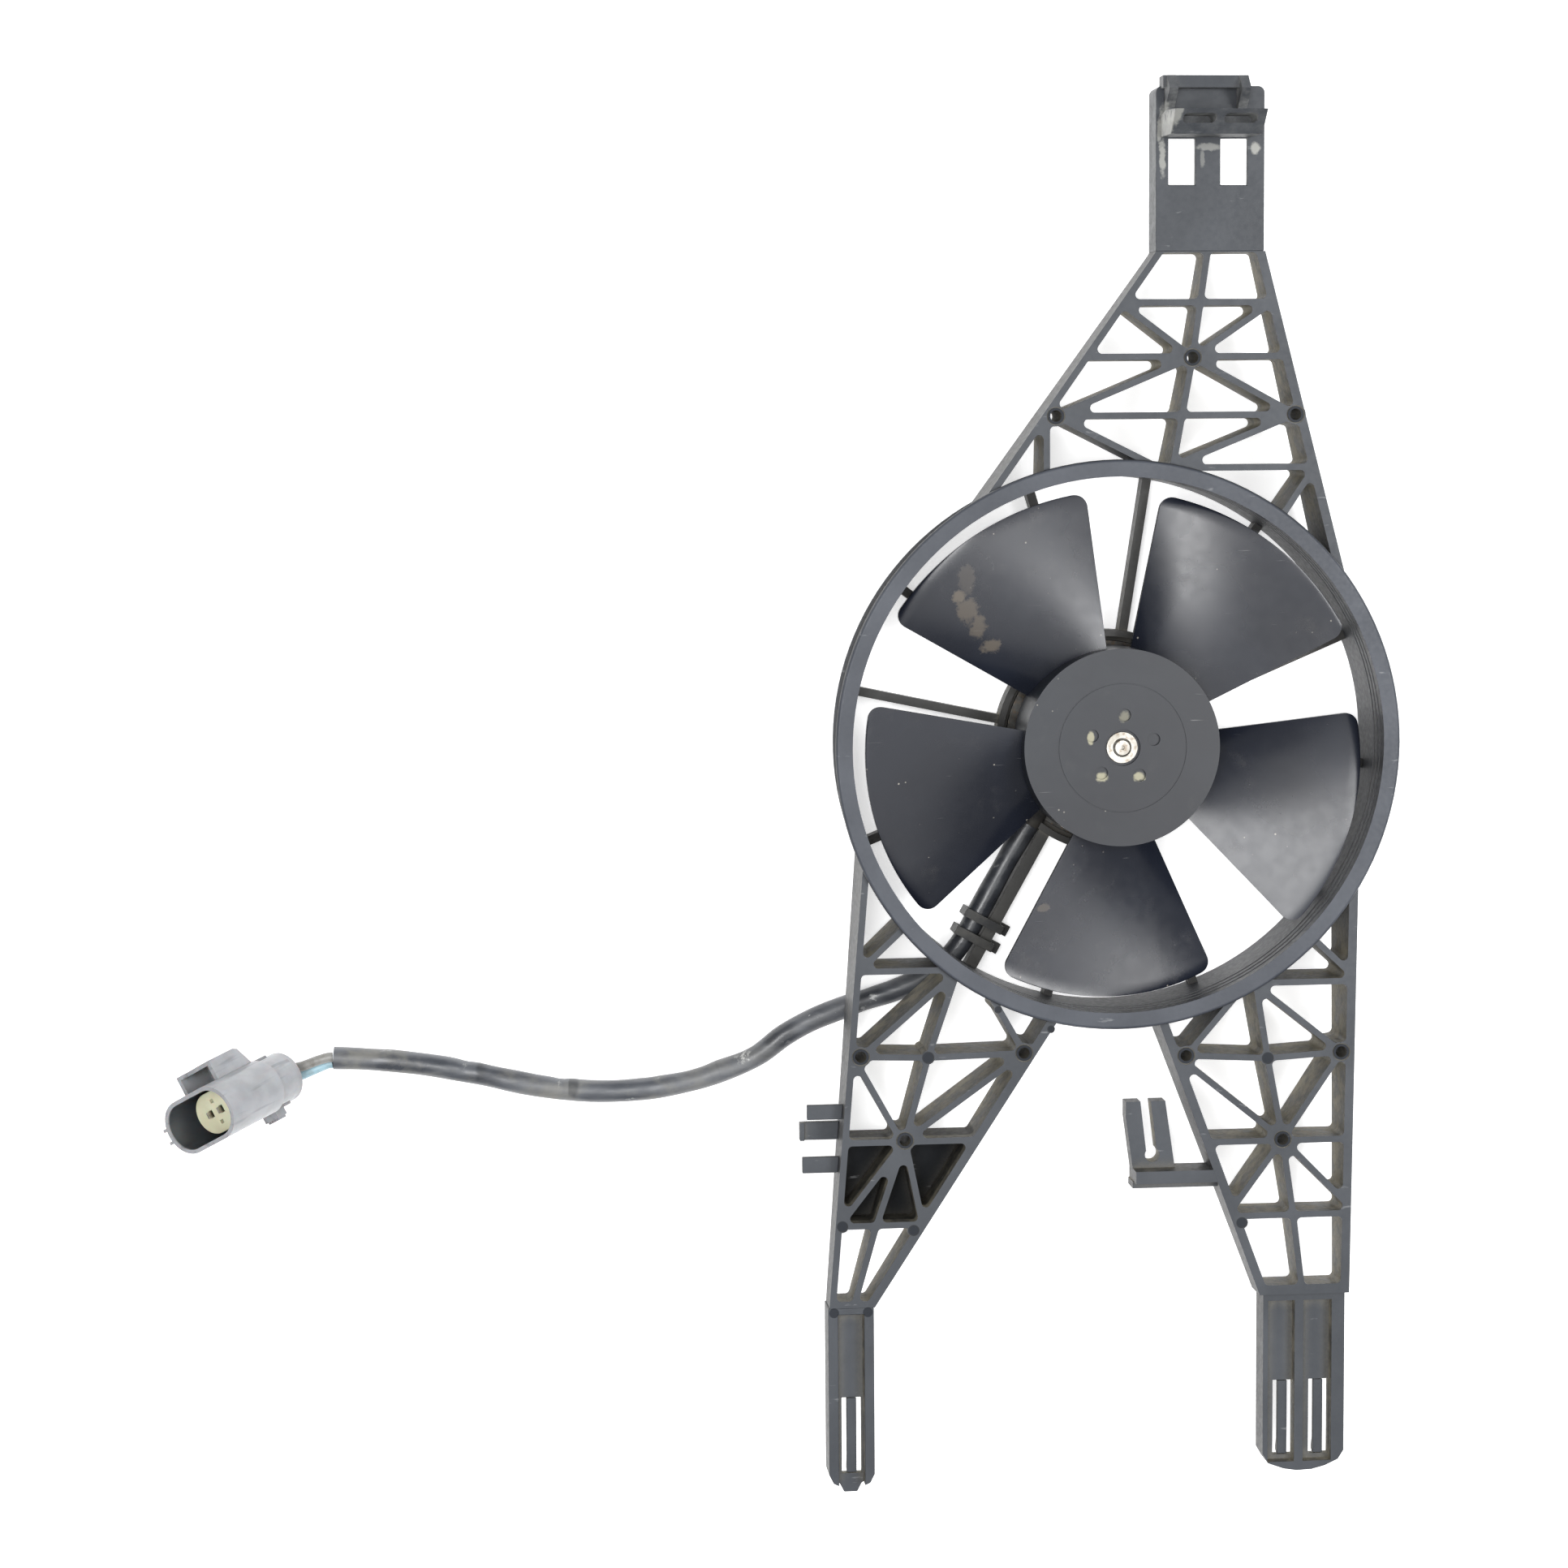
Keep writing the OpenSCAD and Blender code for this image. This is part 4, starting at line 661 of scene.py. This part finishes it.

# %% [markdown]
# The sleeve is vinyl: it is black and shiny beside the motor, and grey and dusty towards the
# plug, so its finish follows the length that each point carries. The streaks run along it.
# A pinch is chafed pale on its ridge, and beside it, where the wall bulges, shade is painted dark,
# by the depth kept in the mesh.

# %% Vinyl of the sleeve, and the leads
def sleeve_vinyl():
    """Vinyl whose colour follows the mesh attributes along and pinch."""
    f = Finish("vinyl_sleeve", gloss=0.55)
    run = f.node("ShaderNodeAttribute", attribute_name="along").outputs["Fac"]
    pull = f.noise(120, 3, (0.25, 1, 1), 7.0)
    smudge = f.noise(75, 6, (0.6, 1, 1), 3.0, 0.62)
    tone = f.blend(f.between(pull, 0.35, 0.65), colour(58, 61, 67), colour(92, 95, 100))
    far = f.between(run, 0.13, 0.24)
    dusty = f.times(f.between(smudge, 0.44, 0.66), f.maths("ADD", f.times(far, 0.45), 0.1))
    tone = f.blend(dusty, tone, colour(126, 124, 116))
    rubbed = f.times(f.between(f.noise(230, 5, (0.5, 1, 1), 9.0, 0.6), 0.62, 0.68),
                     f.between(f.noise(40, 2, seed=11.0), 0.45, 0.6))
    tone = f.blend(f.times(rubbed, 0.75), tone, colour(178, 180, 180))
    pinch = f.node("ShaderNodeAttribute", attribute_name="pinch").outputs["Fac"]
    crumbs = f.noise(560, 6, seed=13.0, lumps=0.75)
    chafed = f.between(f.maths("ADD", f.times(pinch, 0.6), crumbs), 1.0, 1.25)
    tone = f.blend(f.times(chafed, 0.8), tone, colour(190, 190, 186))
    # Painted shade: the vinyl is darkened where it bulges out beside each crease.
    fold_shade = f.between(pinch, -0.1, -0.4)
    tone = f.blend(f.times(fold_shade, 0.6), tone, colour(34, 36, 40))
    black = f.between(run, 0.10, 0.06)
    tone = f.blend(f.times(black, 0.7), tone, colour(30, 32, 36))
    shine = f.between(pull, 0.3, 0.7, 0.26, 0.4)
    f.set("Base Color", tone)
    f.set("Roughness", f.maths("ADD", f.times(dusty, 0.35), shine))
    f.grain(pull, 0.0012, 0.45)
    f.grain(smudge, 0.0008, 0.35)
    f.grain(f.noise(1500, 2, seed=5.0), 0.00004, 0.4)
    return f.material


def insulation(name, clean, stained, seed):
    """Soft wire insulation with stains."""
    f = Finish(name, rough=0.42, gloss=0.45)
    dirt = f.between(f.noise(190, 6, seed=seed, lumps=0.6), 0.42, 0.72)
    f.set("Base Color", f.blend(f.times(dirt, 0.7), clean, stained))
    f.set("Roughness", f.maths("ADD", f.times(dirt, 0.25), 0.36))
    f.grain(f.noise(900, 2, seed=seed + 2), 0.00005, 0.4)
    return f.material


finishes.update({
    "sleeve_vinyl": sleeve_vinyl(),
    "grey_insulation": insulation("insulation_grey", colour(134, 134, 131),
                                  colour(96, 90, 82), 31.0),
    "blue_insulation": insulation("insulation_blue", colour(150, 182, 194),
                                  colour(124, 130, 128), 33.0),
})
print(len(finishes), "finishes, with those of the cable")

# %% [markdown]
# The plug's shell is unpigmented nylon gone grey: light passes a little way into it, so its
# edges glow. The carrier inside is a warm cream of the same kind. The plug lies tilted, so a
# Mapping node turns Object coordinates into its own frame: there the mouth is easy to find,
# whose inner walls get painted shade, and noise can be drawn out along the shell.

# %% Nylon of the plug
def in_plug_frame(f):
    """Object coordinates turned into the plug's own frame, in metres."""
    own = f.node("ShaderNodeMapping", vector_type="TEXTURE")
    f.join(f.place.outputs["Object"], own.inputs["Vector"])
    own.inputs["Location"].default_value = in_plug.to_translation()
    own.inputs["Rotation"].default_value = in_plug.to_euler()
    parts = f.node("ShaderNodeSeparateXYZ")
    f.join(own.outputs["Vector"], parts.inputs["Vector"])
    return parts.outputs


MOUTH_HALF, MOUTH_ROUND, MOUTH_RIM, MOUTH_END = 8.8 * MM, 10.6 * MM, 55.6 * MM, 20 * MM


def painted_mouth_shade(f):
    """1 on the inner walls of the plug's mouth, where shade is painted, and 0 on its rim and
    outside.
    """
    x, y, z = in_plug_frame(f)
    past = f.maths("MAXIMUM", f.maths("SUBTRACT", f.maths("ABSOLUTE", x), MOUTH_HALF), 0.0)
    reach = f.maths("SQRT", f.maths("ADD", f.times(past, past), f.times(y, y)))
    deep = f.times(f.between(z, MOUTH_RIM, MOUTH_RIM - 0.6 * MM),
                   f.between(z, MOUTH_END, MOUTH_END + 1 * MM))
    return f.times(f.between(reach, MOUTH_ROUND + 0.4 * MM, MOUTH_ROUND), deep)


def lengthwise(f, scale, seed):
    """Noise drawn out along the plug."""
    x, y, z = in_plug_frame(f)
    drawn = f.node("ShaderNodeCombineXYZ")
    for axis, value in zip("XYZ", (x, y, f.times(z, 0.1))):
        f.join(value, drawn.inputs[axis])
    made = f.node("ShaderNodeTexNoise", noise_dimensions="4D")
    f.join(drawn.outputs["Vector"], made.inputs["Vector"])
    made.inputs["W"].default_value = seed
    made.inputs["Scale"].default_value = scale
    return made.outputs["Fac"]


def milky(name, clear, stained, seed, depth=0.0015, mouth=0.0):
    """Unpigmented nylon; mouth is how strongly shade is painted inside the plug's mouth."""
    f = Finish(name, gloss=0.5)
    f.set("Subsurface Weight", 0.25)
    f.set("Subsurface Scale", depth)
    cloud = f.between(f.noise(110, 5, seed=seed), 0.35, 0.7)
    dirt = f.times(f.corners(0.004), f.between(f.noise(260, 4, seed=seed + 2), 0.3, 0.7))
    tone = f.blend(f.times(cloud, 0.5), clear, stained)
    tone = f.blend(f.times(dirt, 0.6), tone, colour(96, 90, 78))
    if mouth:
        streak = f.between(lengthwise(f, 330, seed), 0.56, 0.68, 0, 0.4)
        tone = f.blend(streak, tone, colour(92, 94, 98))
        # Painted shade: the inner walls of the plug's mouth are darkened.
        tone = f.blend(f.times(painted_mouth_shade(f), mouth), tone, colour(44, 48, 52))
    f.set("Base Color", tone)
    f.set("Roughness", f.between(f.noise(420, 3, seed=seed + 4), 0.3, 0.7, 0.3, 0.42))
    f.grain(f.noise(1200, 2, seed=seed + 6), 0.00003, 0.3)
    return f.material


finishes.update({
    "connector_grey": milky("nylon_plug_grey", colour(152, 154, 158), colour(124, 126, 128),
                            41.0, mouth=0.9),
    "connector_cream": milky("nylon_plug_cream", colour(226, 225, 196), colour(204, 200, 166),
                             43.0),
    "frame_plastic": frame_nylon,
    "impeller_plastic": blade_finish.material,
})
# Nodes whose finish differs a little from the rest of their slot
own_finish = {
    "shroud_ring": ring_nylon,
    "motor_spider": spoke_nylon,
    "top_neck": neck_nylon,
    "top_catch": catch_nylon,
    "impeller_hub": hub_finish.material,
    "connector_boot": milky("nylon_plug_collar", colour(142, 146, 150), colour(112, 115, 117),
                            47.0),
    "motor_end_cap": cap_finish.material,
}


def paint(made, finish):
    made.data.materials.clear()
    made.data.materials.append(finish)


slots = {p["node"]: p["material_slot"] for p in frame["record"]["subparts"]}
for name, made in nodes.items():
    paint(made, own_finish.get(name, finishes[slots[name]]))
for made, slot in ((sleeve, "sleeve_vinyl"), (grey_lead, "grey_insulation"),
                   (blue_lead, "blue_insulation"), (blades, "impeller_plastic")):
    paint(made, finishes[slot])
print("finishes on", len(nodes), "nodes")

# %% [markdown]
# ## Soft edges
# No moulded edge is sharp. Modifiers give each listed CAD node a small radius: flat faces are
# merged first, so that the bevel meets whole edges and not the triangles of the imported mesh.

# %% Rounded edges on the moulded nodes
def soften(made, radius, segments=2, angle=32, facets=True):
    """Rounds the sharp edges of a piece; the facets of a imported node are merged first."""
    if facets:
        weld = made.modifiers.new("weld", "WELD")
        weld.merge_threshold = 0.00001
        flat = made.modifiers.new("flat_faces", "DECIMATE")
        flat.decimate_type = "DISSOLVE"
        flat.angle_limit = math.radians(0.4)
    bevel = made.modifiers.new("soft_edge", "BEVEL")
    bevel.width = radius
    bevel.segments = segments
    bevel.limit_method = "ANGLE"
    bevel.angle_limit = math.radians(angle)
    bevel.use_clamp_overlap = True
    made.data.polygons.foreach_set("use_smooth", [True] * len(made.data.polygons))
    shade = made.modifiers.new("even_shading", "WEIGHTED_NORMAL")
    shade.mode = "FACE_AREA"
    shade.keep_sharp = False


edge_radii = {
    "shroud_ring": 0.5, "motor_spider": 0.4, "tower_truss": 0.35, "top_neck": 0.4, "top_catch": 0.5,
    "left_leg_truss": 0.35, "right_leg_truss": 0.35, "left_foot": 0.4, "right_foot": 0.4,
    "fork_bracket": 0.4, "clip_tabs": 0.35, "left_tongue": 0.3, "right_tongue_inner": 0.3,
    "right_tongue_outer": 0.3, "impeller_hub": 0.9, "hub_insert": 0.3,
    "motor_shaft": 0.3, "motor_can": 0.6, "motor_end_cap": 0.6, "motor_screws": 0.25,
    "lead_grommet": 0.4, "cable_tie": 0.3, "connector_boot": 0.5, "connector_housing": 0.45,
    "connector_insert": 0.3, "connector_pins": 0.15}
for name, radius in edge_radii.items():
    soften(nodes[name], radius * MM)
soften(blades, 0.5 * MM, facets=False)
counted = bpy.context.evaluated_depsgraph_get()
for name in edge_radii:
    print(name, len(nodes[name].evaluated_get(counted).data.polygons), "faces, rounded")

# %% [markdown]
# ## The stage
# A pale floor carries the fan. Two upright soft boxes hang left and right of the camera and
# give the streaks on the blades. A bright ceiling and a dim sky fill in the rest.

# %% Floor, lights and sky
floor_mesh = bpy.data.meshes.new("floor")
bm = bmesh.new()
bmesh.ops.create_grid(bm, x_segments=1, y_segments=1, size=6)
bmesh.ops.translate(bm, verts=bm.verts, vec=(0, 0, -0.0002))
bm.to_mesh(floor_mesh)
bm.free()
floor = bpy.data.objects.new("floor", floor_mesh)
scene.collection.objects.link(floor)
floor_finish = Finish("floor_pale", rough=0.9, gloss=0.1)
floor_tone = floor_finish.blend(floor_finish.noise(3, 2), colour(247, 247, 247),
                                colour(250, 250, 250))
floor_finish.set("Base Color", floor_tone)
floor_finish.set("Emission Color", (1, 1, 1, 1))
floor_finish.set("Emission Strength", 0.55)
paint(floor, floor_finish.material)


def soft_box(name, place, wide, tall, power):
    """A rectangular lamp that hangs at a place and is turned to the fan's middle."""
    lamp = bpy.data.lights.new(name, "AREA")
    lamp.shape = "RECTANGLE"
    lamp.size = wide
    lamp.size_y = tall
    lamp.energy = power
    made = bpy.data.objects.new(name, lamp)
    made.location = place
    x, y, z = place
    made.rotation_euler = (-math.atan2(y, z), math.atan2(x, z), 0)
    scene.collection.objects.link(made)


soft_box("left_box", (-0.67, 0.13, 2.0), 0.52, 0.95, 20)
soft_box("right_box", (1.14, 0.12, 2.0), 0.72, 1.17, 25)
soft_box("ceiling", (0.0, 0.0, 3.0), 4.2, 4.2, 72)
world = bpy.data.worlds.new("sky")
world.use_nodes = True
world.node_tree.nodes["Background"].inputs["Color"].default_value = (1, 1, 1, 1)
world.node_tree.nodes["Background"].inputs["Strength"].default_value = 0.35
scene.world = world
scene.view_settings.view_transform = "Standard"
print("stage ready")
